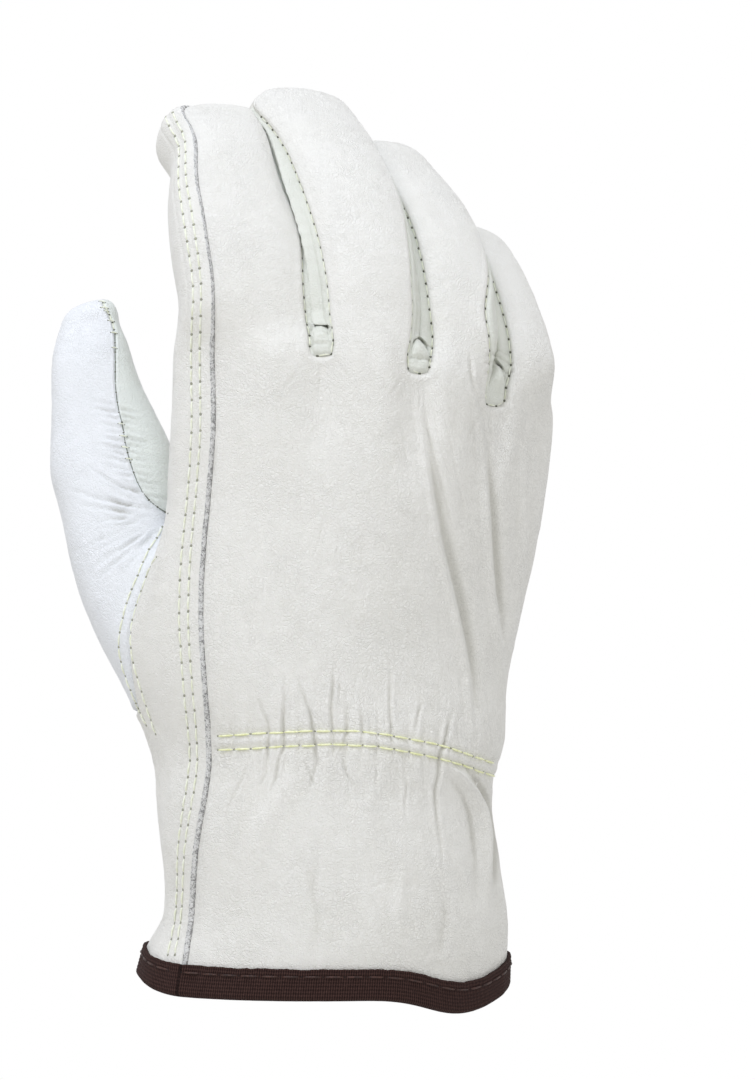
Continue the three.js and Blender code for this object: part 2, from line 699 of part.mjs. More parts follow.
const group = new THREE.Group();
group.add(meshOf('hand_leather', wallOf('hand_leather'), backLeather));
group.add(meshOf('thumb_leather', wallOf('thumb_leather'), thumbLeather));
const wallPieces = [
  'fourchette_index', 'fourchette_middle_radial', 'fourchette_middle_ulnar',
  'fourchette_ring_radial', 'fourchette_ring_ulnar', 'fourchette_little',
];
wallPieces.forEach((name) => group.add(meshOf(name, wallOf(name), wallLeather)));
group.add(meshOf('cuff_binding', tapeRing(), tape));

export default group;
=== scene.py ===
# Leather driver glove for the right hand, held up in the shape it has when worn.
# Sizes are in millimetres until a mesh is made. +Z runs from the wrist to the fingertips,
# the back of the hand faces -Y and the thumb points to -X.
import math
import random
import bpy
import numpy as np
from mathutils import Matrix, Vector, noise
from mathutils.bvhtree import BVHTree
from mathutils.kdtree import KDTree


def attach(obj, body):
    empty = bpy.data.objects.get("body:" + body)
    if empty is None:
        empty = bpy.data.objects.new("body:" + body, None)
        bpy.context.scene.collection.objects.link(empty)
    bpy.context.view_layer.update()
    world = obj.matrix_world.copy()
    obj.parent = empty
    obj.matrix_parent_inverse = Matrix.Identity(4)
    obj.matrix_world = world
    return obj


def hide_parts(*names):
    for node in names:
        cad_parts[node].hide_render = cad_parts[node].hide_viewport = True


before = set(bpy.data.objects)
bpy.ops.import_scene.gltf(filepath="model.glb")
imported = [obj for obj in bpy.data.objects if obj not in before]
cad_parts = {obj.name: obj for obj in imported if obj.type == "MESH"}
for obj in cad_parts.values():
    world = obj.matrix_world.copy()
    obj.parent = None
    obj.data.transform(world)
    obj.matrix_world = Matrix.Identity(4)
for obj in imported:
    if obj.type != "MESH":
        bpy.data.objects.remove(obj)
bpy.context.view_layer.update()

LEATHER = 1.3
# The lap: its step up, how far it lies back from the line of the cut edge, how wide it is at full
# height, how it fades beside that and towards the fingertip
LAP_STEP = 1.3
LAP_SETBACK = 0.7
LAP_FLAT = 10.0
LAP_FADE = 11.0
LAP_TAPER = 7.0
FAR_OFF = 99.0
# How square the sections are: 1 is an ellipse, and less is squarer
HAND_POWER = 0.8
FINGER_POWER = 0.64
# Over this length a finger goes from its opening in the hand to its own section
BLEND_LENGTH = 12
STITCH_PITCH = 4.3
BINDING_PITCH = 5.5
THREAD = 0.55
# The tape: its thickness, how far off the leather it lies, the width of a rib and of a thread in it,
# and how high above the cuff its row of stitches is
TAPE_THICK = 0.95
TAPE_CLEAR = 0.15
TAPE_RIB = 0.95
TAPE_THREAD = 0.62
TAPE_ROW = 5.2
# Two rows of topstitch: distance from the cut edge on the hand, and near the fingertip, and where
# the one becomes the other
LAP_ROWS = ((3.4, 2.9), (6.15, 6.3))
ROW_CHANGE = {"z": 165, "reach": 40}

# The front camera. Places on the glove that are measured in its view are given across and
# down in units of 1/755 of the view's width.
EYE = np.array([14.3, -1000.0, 118.0])
VIEW_CENTRE = (377.5, 540.0)
VIEW_SCALE = 3800.0


def table(names, *rows):
    keys = names.split()
    return [dict(zip(keys, row)) for row in rows]


# Sections across the hand: edges, middle depth, half thickness there and the bow of the
# middle line towards the palm at the two edges
HAND = table(
    "z left right mid half bow_thumb bow_little",
    (-4, -49.2, 48.8, 1.0, 29.0, 6, 18),
    (8, -47.2, 48.8, 1.0, 28.5, 6, 18),
    (18, -42.3, 49.3, 1.0, 28.0, 6, 17),
    (27, -41.9, 47.6, 1.0, 27.3, 6, 16),
    (38, -43.3, 46.6, 1.0, 26.5, 6, 15),
    (50, -44.4, 44.9, 1.0, 25.2, 7, 15),
    (58, -44.6, 46.6, 1.0, 24.4, 8, 15),
    (66, -46.5, 48.6, 1.2, 24.3, 9, 16),
    (78, -54.0, 48.8, 1.5, 24.0, 11, 18),
    (90, -58.0, 51.2, 1.5, 23.3, 12, 21),
    (102, -56.0, 54.0, 1.3, 22.3, 11, 24),
    (114, -50.5, 56.8, 0.8, 20.8, 8, 27),
    (126, -44.0, 59.2, 0.3, 19.2, 5, 30),
    (136, -40.6, 60.6, -0.5, 17.6, 3, 32),
    (146, -39.7, 61.6, -1.0, 16.2, 2, 34),
    (156, -39.0, 62.1, -1.2, 15.1, 2, 35),
    (166, -38.6, 62.0, -1.2, 14.3, 2, 36),
)

# The cut edge of the lap and the edge of the leather that the thumb is sewn to
EDGES = table(
    "z lap thumb",
    (-4, -36.6, -44.3),
    (8, -34.8, -43.3),
    (20, -33.2, -41.1),
    (38, -31.8, -41.9),
    (58, -28.4, -43.5),
    (66, -28.2, -46.1),
    (72, -28.4, -48.7),
    (78, -28.7, -51.3),
    (84, -29.0, -53.5),
    (90, -29.4, -54.8),
    (96, -29.8, -54.1),
    (102, -30.0, -52.5),
    (108, -30.0, -50.1),
    (114, -29.8, -47.3),
    (120, -29.5, -44.0),
    (128, -29.1, -40.4),
    (146, -27.8, -37.4),
    (166, -28.2, -36.6),
)

# The skin of the hand has rows at these heights and lines round it. The lines are numbered from the
# cut edge over the back, the little finger's side and the palm to the thumb.
ROWS = (1.0, 8.6, 18, 27, 36, 45, 52, 59, 66, 78, 90, 102, 114, 126, 136, 146, 156, 166)
TOP = 166
SLOPE_START = 66
HOLE_ROWS = (8, 13)
HOLE_CORNER = 4.5
LINES = 40
BACK = table("line x top", (0, -29.2, 166), (4, -3.0, 166.3), (5, 1.7, 166.3), (9, 22.7, 162),
             (10, 27.7, 162), (14, 43.6, 154), (15, 48.6, 154), (19, 59.4, 151))
PALM = table("line x top", (23, 54.0, 150), (25, 41.4, 154), (26, 36.4, 154), (28, 21.4, 162),
             (29, 16.2, 162), (31, -3.0, 166), (32, -8.4, 166), (34, -31.5, 166))
LAST_BACK, FIRST_PALM, LAST_PALM, THUMB_EDGE = 19, 23, 34, 38
GAP_LINES = (4, 5, 9, 10, 14, 15, 25, 26, 28, 29, 31, 32)
# The lines are evenly spread at the wrist. Above the start they move to the gaps of the fingers.
FINGER_LINES = {"start": 95, "reach": 55}
SIDE_BACK, SIDE_PALM = math.radians(-24), math.radians(27)
PALM_MARGIN = 10
# The leather tucks in at the gaps and at the side from a row up, and waves a little at the shirring
GAP_TUCK = {"depth": 2.6, "row": 13, "reach": 4}
SIDE_TUCK = {"depth": 2.0, "row": 14, "reach": 3}
WAVE = {"height": 0.35, "z": 63, "reach": 13}
CUFF_DIP = {"x": 37, "width": 12.5, "depth": 5.2, "reach": 30}
CUFF_RISE = {"x": -50, "width": 7, "height": 3.0}

# The fingers and the thumb: at what angles the columns of the back and palm run, the height of the
# rounded end and how far it leans, how far the columns turn on the way, and the sections
STATION = "x y z wide deep roll"
FINGERS = {
    "index": {
        "back": (-121, -26), "palm": (46, 134), "dome": 8.5, "lean": 4, "far_turn": -24,
        "turns": (0, 0.8, 1.8, -3.5, -7.5, -3.5),
        "stations": table(
            STATION, (-20.6, 0.4, 166, 17.2, 13.2, 14), (-20.2, 3.0, 181, 17.3, 12.6, 14),
            (-23.1, 8.5, 196, 16.8, 12.0, 14), (-26.0, 16.0, 208.5, 14.8, 11.4, 13),
            (-27.2, 24.0, 219, 12.8, 10.8, 14), (-30.7, 31.0, 226, 14.2, 9.6, 16))},
    "middle": {
        "back": (-156, -28), "palm": (46, 134), "dome": 9, "lean": -0.5, "far_turn": -14,
        "turns": (0, -2.7, -6.1, -9.9, -12, -14),
        "stations": table(
            STATION, (11.2, -1.0, 165, 12.4, 12.8, 14), (11.0, 2.0, 181, 12.6, 12.2, 14),
            (9.2, 8.0, 195, 13.2, 11.6, 13), (5.3, 17.0, 208.5, 13.5, 11.0, 12),
            (-0.6, 29.0, 221.5, 13.3, 10.4, 14), (-7.4, 43.0, 232, 14.3, 9.6, 16))},
    "ring": {
        "back": (-145, -28), "palm": (46, 134), "dome": 8.5, "lean": -5, "far_turn": -45,
        "fullness": 0.8, "turns": (0, -2.3, -5.2, -8.5, -10.3, -12),
        "stations": table(
            STATION, (35.4, 7.0, 158, 10.4, 11.2, 22), (34.2, 10.5, 174, 11.1, 10.8, 22),
            (32.3, 17.5, 188, 11.2, 10.4, 22), (28.6, 27.0, 200, 11.0, 10.0, 22),
            (22.6, 38.5, 210.5, 10.9, 9.4, 23), (16.4, 49.5, 219.5, 10.3, 8.8, 21))},
    "little": {
        "back": (-142, -40), "palm": (46, 134), "dome": 7.5,
        "stations": table(
            STATION, (51.9, 21.0, 152, 9.4, 10.0, 38), (51.1, 24.5, 166, 9.0, 9.8, 38),
            (48.3, 31.0, 178, 8.6, 9.4, 37), (44.7, 39.5, 188, 8.4, 9.0, 36),
            (41.5, 48.0, 195.5, 8.3, 8.2, 35))},
}
THUMB = {
    "dome": 7.5, "fullness": 1.1, "lean": 3.5,
    "stations": table(
        STATION, (-45.6, 15.0, 97, 24.0, 20, 0), (-53.0, 18.5, 113, 15.8, 15.5, 0),
        (-55.0, 21.5, 127, 16.2, 14.0, 0), (-57.6, 24.5, 140, 16.7, 13.0, 0),
        (-60.5, 27.0, 152, 13.3, 12.0, 0), (-62.4, 28.5, 162, 11.6, 11.0, 0),
        (-63.2, 30.5, 171, 9.7, 9.2, 0), (-63.6, 31.5, 175.5, 8.0, 7.8, 0))}
FINGER_RINGS = (0.065, 0.135, 0.215, 0.31, 0.41, 0.52, 0.64, 0.76, 0.88, 1.0)
THUMB_RINGS = (0.1, 0.2, 0.31, 0.42, 0.53, 0.64, 0.75, 0.86, 0.94, 1.0)
DOME_ANGLES = (25, 50, 74)
FINGER_FULLNESS = 0.6
# Where along a finger its turns are given, and where the far side turns by itself
TURN_STEPS = (0, 0.25, 0.5, 0.75, 0.88, 1)
FAR_TURN = {"column": 4, "spread": 3, "t": 0.2, "reach": 0.17}
SPAN_STEPS = 60
# The floor of a gap: places from the back to the palm, and how much of its rise each has
FLOOR_PLACES = ((0.14, 0.75), (0.5, 1), (0.86, 0.75))
# Below this height the thumb is drawn level with the hand
THUMB_JOIN_TOP = 132

PIECES = ("hand_leather", "thumb_leather", "fourchette_index", "fourchette_middle_radial",
          "fourchette_middle_ulnar", "fourchette_ring_radial", "fourchette_ring_ulnar",
          "fourchette_little")
(HAND_PIECE, THUMB_PIECE, INDEX_WALL, MIDDLE_RADIAL, MIDDLE_ULNAR, RING_RADIAL, RING_ULNAR,
 LITTLE_WALL) = range(len(PIECES))


def smooth(value):
    value = np.clip(value, 0, 1)
    return value * value * (3 - 2 * value)


def bell(value):
    return np.exp(-value * value)


def lengths_along(path):
    """How far along a line of places each of them is."""
    return np.concatenate([[0], np.cumsum(np.linalg.norm(np.diff(path, axis=0), axis=1))])


def at_marks(marks, lengths, values):
    """Values that go with the places of a line, at other distances along it."""
    return np.stack([np.interp(marks, lengths, column) for column in values.T], 1)


def unit(vectors):
    return vectors / np.linalg.norm(vectors, axis=1, keepdims=True)


def columns_of(rows):
    return [np.array(column) for column in zip(*rows)]


def edges_of(quads):
    """The ends of the four edges of each cell, the lower number first."""
    return np.sort(np.stack([quads, np.roll(quads, -1, 1)], 2).reshape(-1, 2), 1)


def both_ways(pairs):
    return np.concatenate([pairs, pairs[:, ::-1]])


def signed_power(value, power):
    return math.copysign(abs(value) ** power, value)


def sample(rows, key, at):
    """Smooth curve through the rows of a table, by the column named key."""
    last = len(rows) - 1
    i = next((n for n, row in enumerate(rows) if row[key] > at), last) - 1
    i = min(max(i, 0), last - 1)
    a, b = rows[i], rows[i + 1]
    before, after = rows[max(0, i - 1)], rows[min(last, i + 2)]
    span = b[key] - a[key]
    t = min(max((at - a[key]) / span, 0), 1)
    result = {}
    for name in a:
        slope_a = (b[name] - before[name]) / (b[key] - before[key]) * span
        slope_b = (after[name] - a[name]) / (after[key] - a[key]) * span
        rise = b[name] - a[name]
        c2 = 3 * rise - 2 * slope_a - slope_b
        c3 = slope_a + slope_b - 2 * rise
        result[name] = a[name] + slope_a * t + c2 * t * t + c3 * t**3
    return result


def between(rows, line, name):
    """Straight steps between the rows of a table, for lines between named lines."""
    return float(np.interp(line, [row["line"] for row in rows], [row[name] for row in rows]))


def top_of(line):
    if line <= LAST_BACK:
        return between(BACK, line, "top")
    if line < FIRST_PALM:
        t = (line - LAST_BACK) / (FIRST_PALM - LAST_BACK)
        return BACK[-1]["top"] + t * (PALM[0]["top"] - BACK[-1]["top"])
    return between(PALM, line, "top") if line <= LAST_PALM else TOP


def hole_rounding(line, row):
    away = abs(line - (LAST_PALM + THUMB_EDGE) / 2) - 1
    if away > 1 or away < 0:
        return 0
    corner = HOLE_CORNER * away
    return {HOLE_ROWS[0]: corner, HOLE_ROWS[1]: -corner}.get(row, 0)


def section_point(section, angle):
    centre = (section["left"] + section["right"]) / 2
    half_width = (section["right"] - section["left"]) / 2
    across = signed_power(math.cos(angle), HAND_POWER)
    bow = section["bow_little"] if across > 0 else section["bow_thumb"]
    depth = section["mid"] + bow * across**2
    return (centre + half_width * across,
            depth + section["half"] * signed_power(math.sin(angle), HAND_POWER))


def angle_on_back(section, x):
    centre = (section["left"] + section["right"]) / 2
    half_width = (section["right"] - section["left"]) / 2
    across = min(max((x - centre) / half_width, -0.999), 0.999)
    return -math.acos(signed_power(across, 1 / HAND_POWER))


def line_angle(section, edges, line, z):
    """Angle round the hand's section for a line, held to the finger gaps at the top."""
    to_fingers = smooth((z - FINGER_LINES["start"]) / FINGER_LINES["reach"])
    if line <= LAST_BACK:
        end_x = section_point(section, SIDE_BACK)[0]
        even_x = edges["lap"] + (end_x - edges["lap"]) * line / LAST_BACK
        scale = (end_x - edges["lap"]) / (BACK[-1]["x"] - BACK[0]["x"])
        finger_x = edges["lap"] + (between(BACK, line, "x") - BACK[0]["x"]) * scale
        return angle_on_back(section, even_x + (finger_x - even_x) * to_fingers)
    if line < FIRST_PALM:
        t = (line - LAST_BACK) / (FIRST_PALM - LAST_BACK)
        return SIDE_BACK + t * (SIDE_PALM - SIDE_BACK)
    palm_end_x = section["left"] + PALM_MARGIN
    if line <= LAST_PALM:
        t = (line - FIRST_PALM) / (LAST_PALM - FIRST_PALM)
        start_x = section_point(section, SIDE_PALM)[0]
        even_x = start_x + (palm_end_x - start_x) * t
        scale = (palm_end_x - start_x) / (PALM[-1]["x"] - PALM[0]["x"])
        finger_x = start_x + (between(PALM, line, "x") - PALM[0]["x"]) * scale
        return -angle_on_back(section, even_x + (finger_x - even_x) * to_fingers)
    palm_end = -angle_on_back(section, palm_end_x)
    thumb = angle_on_back(section, edges["thumb"]) + 2 * math.pi
    lap = angle_on_back(section, edges["lap"]) + 2 * math.pi
    if line <= THUMB_EDGE:
        return palm_end + (thumb - palm_end) * (line - LAST_PALM) / (THUMB_EDGE - LAST_PALM)
    return thumb + (lap - thumb) * (line - THUMB_EDGE) / (LINES - THUMB_EDGE)


def hand_point(line, row):
    height = ROWS[row]
    slope = smooth((height - SLOPE_START) / (TOP - SLOPE_START))
    z = height + slope * (top_of(line) - TOP) + hole_rounding(line, row)
    section = sample(HAND, "z", z)
    edges = sample(EDGES, "z", z)
    x, y = section_point(section, line_angle(section, edges, line, z))
    on_back = line <= LAST_BACK
    if line in GAP_LINES:
        tuck = GAP_TUCK["depth"] * smooth((row - GAP_TUCK["row"]) / GAP_TUCK["reach"])
        y += tuck if on_back else -tuck
    if LAST_BACK < line < LAST_PALM:
        y -= SIDE_TUCK["depth"] * smooth((row - SIDE_TUCK["row"]) / SIDE_TUCK["reach"])
    if on_back and line > 0:
        y += (1 if line % 2 else -1) * WAVE["height"] * bell((z - WAVE["z"]) / WAVE["reach"])
    beyond = max(0, min(1, (LAST_BACK + 5 - line) / 5)) if line < LAST_PALM else 0
    dip = CUFF_DIP["depth"] * bell((x - CUFF_DIP["x"]) / CUFF_DIP["width"]) * beyond
    dip -= CUFF_RISE["height"] * bell((x - CUFF_RISE["x"]) / CUFF_RISE["width"])
    return x, y, z - dip * smooth(1 - height / CUFF_DIP["reach"])


# The skin: corner points and four-sided cells, each with its piece
points = []
cells = []
cell_pieces = []
cell_parts = []
cell_lapped = []


def add_point(point):
    points.append(np.array(point, float))
    return len(points) - 1


def add_cell(piece, part, *loop):
    """One cell of a piece. The leather of the hand is shown in parts, the lap side among them."""
    cells.append(loop)
    cell_pieces.append(piece)
    cell_parts.append(part if piece == HAND_PIECE else None)
    cell_lapped.append(part == "lap")


hand = [[add_point(hand_point(line, row)) for line in range(LINES)] for row in range(len(ROWS))]
top_row = hand[-1]


def build_hand():
    for row in range(len(ROWS) - 1):
        beside = HOLE_ROWS[0] <= row < HOLE_ROWS[1]
        for line in range(LINES):
            if beside and LAST_PALM <= line < THUMB_EDGE:
                continue
            after = (line + 1) % LINES
            part = "back" if line < LAST_BACK else "lap" if line >= LAST_PALM else "palm"
            add_cell(HAND_PIECE, part,
                     hand[row][line], hand[row][after], hand[row + 1][after], hand[row + 1][line])


def build_gap(piece, back, palm, rise):
    """The floor of a gap between two fingers, four cells deep. It rises steeply behind its edge."""
    sides = []
    for start, end in zip(back, palm):
        a, b = points[top_row[start]], points[top_row[end]]
        inner = [add_point(a + (b - a) * t + (0, 0, rise * up)) for t, up in FLOOR_PLACES]
        sides.append([top_row[start], *inner, top_row[end]])
    left, right = sides
    for step in range(4):
        add_cell(piece, "wall", left[step], right[step], right[step + 1], left[step + 1])
    return left[1:-1], right[1:-1]


class Centreline:
    """A smooth curve through the stations, with the section's own axes at each place."""

    def __init__(self, stations):
        knots = np.array([[row["x"], row["y"], row["z"]] for row in stations], float)
        first, last = 2 * knots[0] - knots[1], 2 * knots[-1] - knots[-2]
        knots = np.vstack([first, knots, last])
        steps = np.linspace(0, 1, SPAN_STEPS + 1)
        self.path = np.vstack([self.span(knots[i:i + 4], steps[:-1]) for i in range(len(knots) - 3)]
                              + [knots[-2]])
        self.reach = lengths_along(self.path)
        self.length = self.reach[-1]
        self.rows = [{**row, "t": self.reach[i * SPAN_STEPS] / self.length}
                     for i, row in enumerate(stations)]

    @staticmethod
    def span(knots, steps):
        gaps = np.linalg.norm(np.diff(knots, axis=0), axis=1) ** 0.5
        p0, p1, p2, p3 = knots
        t1 = (p1 - p0) / gaps[0] - (p2 - p0) / (gaps[0] + gaps[1]) + (p2 - p1) / gaps[1]
        t2 = (p2 - p1) / gaps[1] - (p3 - p1) / (gaps[1] + gaps[2]) + (p3 - p2) / gaps[2]
        t1, t2 = t1 * gaps[1], t2 * gaps[1]
        s = steps[:, None]
        return p1 + t1 * s + (3 * (p2 - p1) - 2 * t1 - t2) * s**2 + (2 * (p1 - p2) + t1 + t2) * s**3

    def place(self, t):
        at = t * self.length
        return np.array([np.interp(at, self.reach, self.path[:, k]) for k in range(3)])

    def frame(self, t):
        along = self.place(min(t + 0.004, 1)) - self.place(max(t - 0.004, 0))
        along /= np.linalg.norm(along)
        across = np.array([1.0, 0, 0]) - along * along[0]
        across /= np.linalg.norm(across)
        return {"centre": self.place(t), "along": along, "across": across,
                "depth": np.cross(along, across), "section": sample(self.rows, "t", t)}


def section_corner(axes, angle, grow=1, centre=None):
    section = axes["section"]
    turn = math.radians(section["roll"])
    wide = section["wide"] * grow * signed_power(math.cos(angle), FINGER_POWER)
    deep = section["deep"] * grow * signed_power(math.sin(angle), FINGER_POWER)
    centre = axes["centre"] if centre is None else centre
    return (centre + axes["across"] * (wide * math.cos(turn) - deep * math.sin(turn))
            + axes["depth"] * (wide * math.sin(turn) + deep * math.cos(turn)))


def build_tube(loop, angles, spec, rings, piece_of, part_of):
    """Rings of corners from a starting loop to a rounded tip. Gives back all the rings."""
    curve = Centreline(spec["stations"])
    levels = [loop]

    def turned(i, t):
        """How far a column of the tube turns, in radians."""
        beside = max(0, 1 - min(i, len(loop) - i) / 4)
        far = max(0, 1 - abs(i - FAR_TURN["column"]) / FAR_TURN["spread"])
        far *= bell((t - FAR_TURN["t"]) / FAR_TURN["reach"])
        steady = float(np.interp(t, TURN_STEPS, spec.get("turns", [0] * len(TURN_STEPS))))
        return math.radians(steady * beside + spec.get("far_turn", 0) * far)

    def join(after):
        before, level = levels[-1], len(levels) - 1
        for i in range(len(before)):
            j = (i + 1) % len(before)
            add_cell(piece_of(i, level), part_of(i), before[i], before[j], after[j], after[i])
        levels.append(after)

    for t in rings:
        axes = curve.frame(t)
        blend = smooth(t * curve.length / BLEND_LENGTH)
        ring = []
        for i, (corner, angle) in enumerate(zip(loop, angles)):
            start = points[corner] + axes["along"] * t * curve.length
            corner = section_corner(axes, angle + turned(i, t))
            ring.append(add_point(start + (corner - start) * blend))
        join(ring)
    tip = curve.frame(1)
    angles = [angle + turned(i, 1) for i, angle in enumerate(angles)]
    for degrees in DOME_ANGLES:
        share = math.sin(math.radians(degrees))
        centre = tip["centre"] + tip["along"] * spec["dome"] * share
        centre = centre + tip["across"] * spec.get("lean", 0) * share**2
        grow = math.cos(math.radians(degrees)) ** spec.get("fullness", FINGER_FULLNESS)
        join([add_point(section_corner(tip, angle, grow, centre)) for angle in angles])
    pole = add_point(tip["centre"] + tip["along"] * spec["dome"] + tip["across"] * spec.get("lean", 0))
    ring = levels[-1]
    for i in range(0, len(ring), 2):
        add_cell(piece_of(i, len(levels)), part_of(i), ring[i], ring[i + 1], ring[(i + 2) % len(ring)], pole)
    return levels + [[pole]]


def spread(start, end, steps):
    return [math.radians(start + (end - start) * i / steps) for i in range(steps)]


def build_finger(name, back_start, palm_start, far, near, far_piece=None, near_piece=None, first_piece=None):
    """A finger starts on a loop: back lines, the far wall, palm lines and the near wall."""
    spec = FINGERS[name]
    loop = [top_row[back_start + i] for i in range(5)] + list(far)
    loop += [top_row[palm_start + i] for i in range(3)] + list(near)
    far_steps, near_steps = len(far) + 1, len(near) + 1
    angles = spread(*spec["back"], 4) + spread(spec["back"][1], spec["palm"][0], far_steps)
    angles += spread(*spec["palm"], 2) + spread(spec["palm"][1], spec["back"][0] + 360, near_steps)

    def piece_of(i, level):
        if level > len(FINGER_RINGS):
            return HAND_PIECE
        if far_piece and 4 <= i < 4 + far_steps:
            return far_piece
        if near_piece and i >= 6 + far_steps:
            return near_piece if level else first_piece
        return HAND_PIECE

    def part_of(i):
        if i < 4:
            return "fingers"
        return "lap" if name == "index" and i >= 6 + far_steps else "palm"

    return build_tube(loop, angles, spec, FINGER_RINGS, piece_of, part_of)


def build_thumb():
    low, high = HOLE_ROWS
    lines = range(LAST_PALM, THUMB_EDGE + 1)
    loop = [hand[high][line] for line in lines]
    loop += [hand[row][THUMB_EDGE] for row in range(high - 1, low, -1)]
    loop += [hand[low][line] for line in reversed(lines)]
    loop += [hand[row][LAST_PALM] for row in range(low + 1, high)]
    loop.reverse()
    count = len(loop)
    middle_of_top = count - len(lines) + (len(lines) - 1) / 2
    angles = [(i - middle_of_top) * 2 * math.pi / count for i in range(count)]
    return build_tube(loop, angles, THUMB, THUMB_RINGS, lambda i, level: THUMB_PIECE, lambda i: "thumb")


build_hand()
gap1 = build_gap(INDEX_WALL, (4, 5), (32, 31), 8.0)
gap2 = build_gap(MIDDLE_ULNAR, (9, 10), (29, 28), 7.5)
gap3 = build_gap(RING_ULNAR, (14, 15), (26, 25), 9.0)
index = build_finger("index", 0, 32, gap1[0], top_row[35:40], INDEX_WALL)
middle = build_finger("middle", 5, 29, gap2[0], gap1[1][::-1], MIDDLE_ULNAR, MIDDLE_RADIAL, INDEX_WALL)
ring = build_finger("ring", 10, 26, gap3[0], gap2[1][::-1], RING_ULNAR, RING_RADIAL, MIDDLE_ULNAR)
little = build_finger("little", 15, 23, top_row[20:23], gap3[1][::-1], None, LITTLE_WALL, RING_ULNAR)
thumb = build_thumb()

points = np.array(points)
cells = np.array(cells)
cell_pieces = np.array(cell_pieces)
cell_parts = np.array([part or "" for part in cell_parts])
cell_lapped = np.array(cell_lapped)


def sums(index, values, size):
    return np.stack([np.bincount(index, column, size) for column in values.T], 1)


def relax(chosen, passes, strength):
    """Neighbouring points pull each other level where the thumb meets the hand."""
    both = both_ways(np.unique(edges_of(cells), axis=0))
    count = np.maximum(np.bincount(both[:, 0], minlength=len(points)), 1)[:, None]
    for _ in range(passes):
        mean = sums(both[:, 0], points[both[:, 1]], len(points)) / count
        points[chosen] += (mean[chosen] - points[chosen]) * strength


thumb_points = np.unique(cells[cell_pieces == THUMB_PIECE])
relax(thumb_points[points[thumb_points, 2] < THUMB_JOIN_TOP], 3, 0.5)


def limit_points(at, quads):
    """Where the smoothed surface passes near each point."""
    size = len(at)
    pairs, counts = np.unique(edges_of(quads), axis=0, return_counts=True)
    both = both_ways(pairs)
    near = sums(both[:, 0], at[both[:, 1]], size)
    far = sums(quads.reshape(-1), at[np.roll(quads, 2, 1).reshape(-1)], size)
    n = np.maximum(np.bincount(quads.reshape(-1), minlength=size), 1)[:, None].astype(float)
    result = (n * n * at + 4 * near + far) / (n * (n + 5))
    open_pairs = pairs[counts == 1]
    both = both_ways(open_pairs)
    rim = np.unique(open_pairs)
    result[rim] = (4 * at[rim] + sums(both[:, 0], at[both[:, 1]], size)[rim]) / 6
    return result


class Finer:
    """One step of smooth refinement: each cell becomes four."""

    def __init__(self, at, quads):
        size, faces = len(at), len(quads)
        edges = edges_of(quads)
        keys = edges[:, 0] * size + edges[:, 1]
        self.size, self.offset = size, size + faces
        self.keys, first, inverse, counts = np.unique(
            keys, return_index=True, return_inverse=True, return_counts=True)
        pairs = edges[first]
        inverse = inverse.reshape(-1)
        face = at[quads].mean(1)
        middle = at[pairs].mean(1)
        shared = counts == 2
        beside = sums(inverse, np.repeat(face, 4, 0), len(pairs))
        edge = np.where(shared[:, None], middle / 2 + beside / 4, middle)
        corner = quads.reshape(-1)
        n = np.maximum(np.bincount(corner, minlength=size), 1)[:, None]
        spokes = np.maximum(np.bincount(pairs.reshape(-1), minlength=size), 1)[:, None]
        around = sums(corner, np.repeat(face, 4, 0), size) / n
        reach = sums(pairs.reshape(-1), np.repeat(middle, 2, 0), size)
        moved = (around + 2 * reach / spokes + (n - 3) * at) / n
        open_pairs = pairs[~shared].reshape(-1)
        rim = np.unique(open_pairs)
        rim_sum = sums(open_pairs, np.repeat(middle[~shared], 2, 0), size)
        moved[rim] = at[rim] / 2 + rim_sum[rim] / 4
        self.points = np.concatenate([moved, face, edge])
        ids = inverse.reshape(-1, 4) + self.offset
        centres = np.repeat(np.arange(faces)[:, None] + size, 4, 1)
        self.quads = np.stack([quads, ids, centres, np.roll(ids, 1, 1)], 2).reshape(-1, 4)

    def halve(self, chain):
        """The same chain of points with the new middles between them."""
        chain = np.asarray(chain)
        low, high = np.minimum(chain[:-1], chain[1:]), np.maximum(chain[:-1], chain[1:])
        middles = np.searchsorted(self.keys, low * self.size + high) + self.offset
        result = np.empty(2 * len(chain) - 1, int)
        result[::2], result[1::2] = chain, middles
        return result


LEVELS = 4
points += points - limit_points(points, cells)
steps = []
level_points, level_quads = [points], [cells]
for _ in range(LEVELS):
    step = Finer(level_points[-1], level_quads[-1])
    steps.append(step)
    level_points.append(step.points)
    level_quads.append(step.quads)
skin = level_points[-1]


def at_level(values, level):
    return np.repeat(values, 4**level)


def normals_of(at, quads):
    a, b, c, d = (at[quads[:, k]] for k in range(4))
    faces = np.cross(c - a, d - b)
    total = sums(quads.reshape(-1), np.repeat(faces, 4, 0), len(at))
    return total / np.maximum(np.linalg.norm(total, axis=1, keepdims=True), 1e-12)


skin_normals = normals_of(skin, level_quads[-1])


def chain_at(chain, level, start=0):
    for step in steps[start:level]:
        chain = step.halve(chain)
    return chain


def nearest(chosen, targets):
    """Distance from each chosen point to the nearest target, and which target that is."""
    tree = KDTree(len(targets))
    for i, place in enumerate(targets):
        tree.insert(place, i)
    tree.balance()
    found = [tree.find(place)[1:] for place in chosen]
    return np.array([f[1] for f in found]), np.array([f[0] for f in found])


# The cut edge of the lap runs up line 0 and on to the tip of the index finger
lap_corners = [row[0] for row in hand] + [level[0] for level in index[1:-2]]
lap_chain = chain_at(lap_corners, LEVELS)
lap_places = skin[lap_chain]
lap_outward = skin_normals[lap_chain]
lap_aside = np.cross(lap_outward, unit(np.gradient(lap_places, axis=0)))
lap_lengths = lengths_along(lap_places)
lap_taper = smooth((lap_lengths[-1] - lap_lengths) / LAP_TAPER)

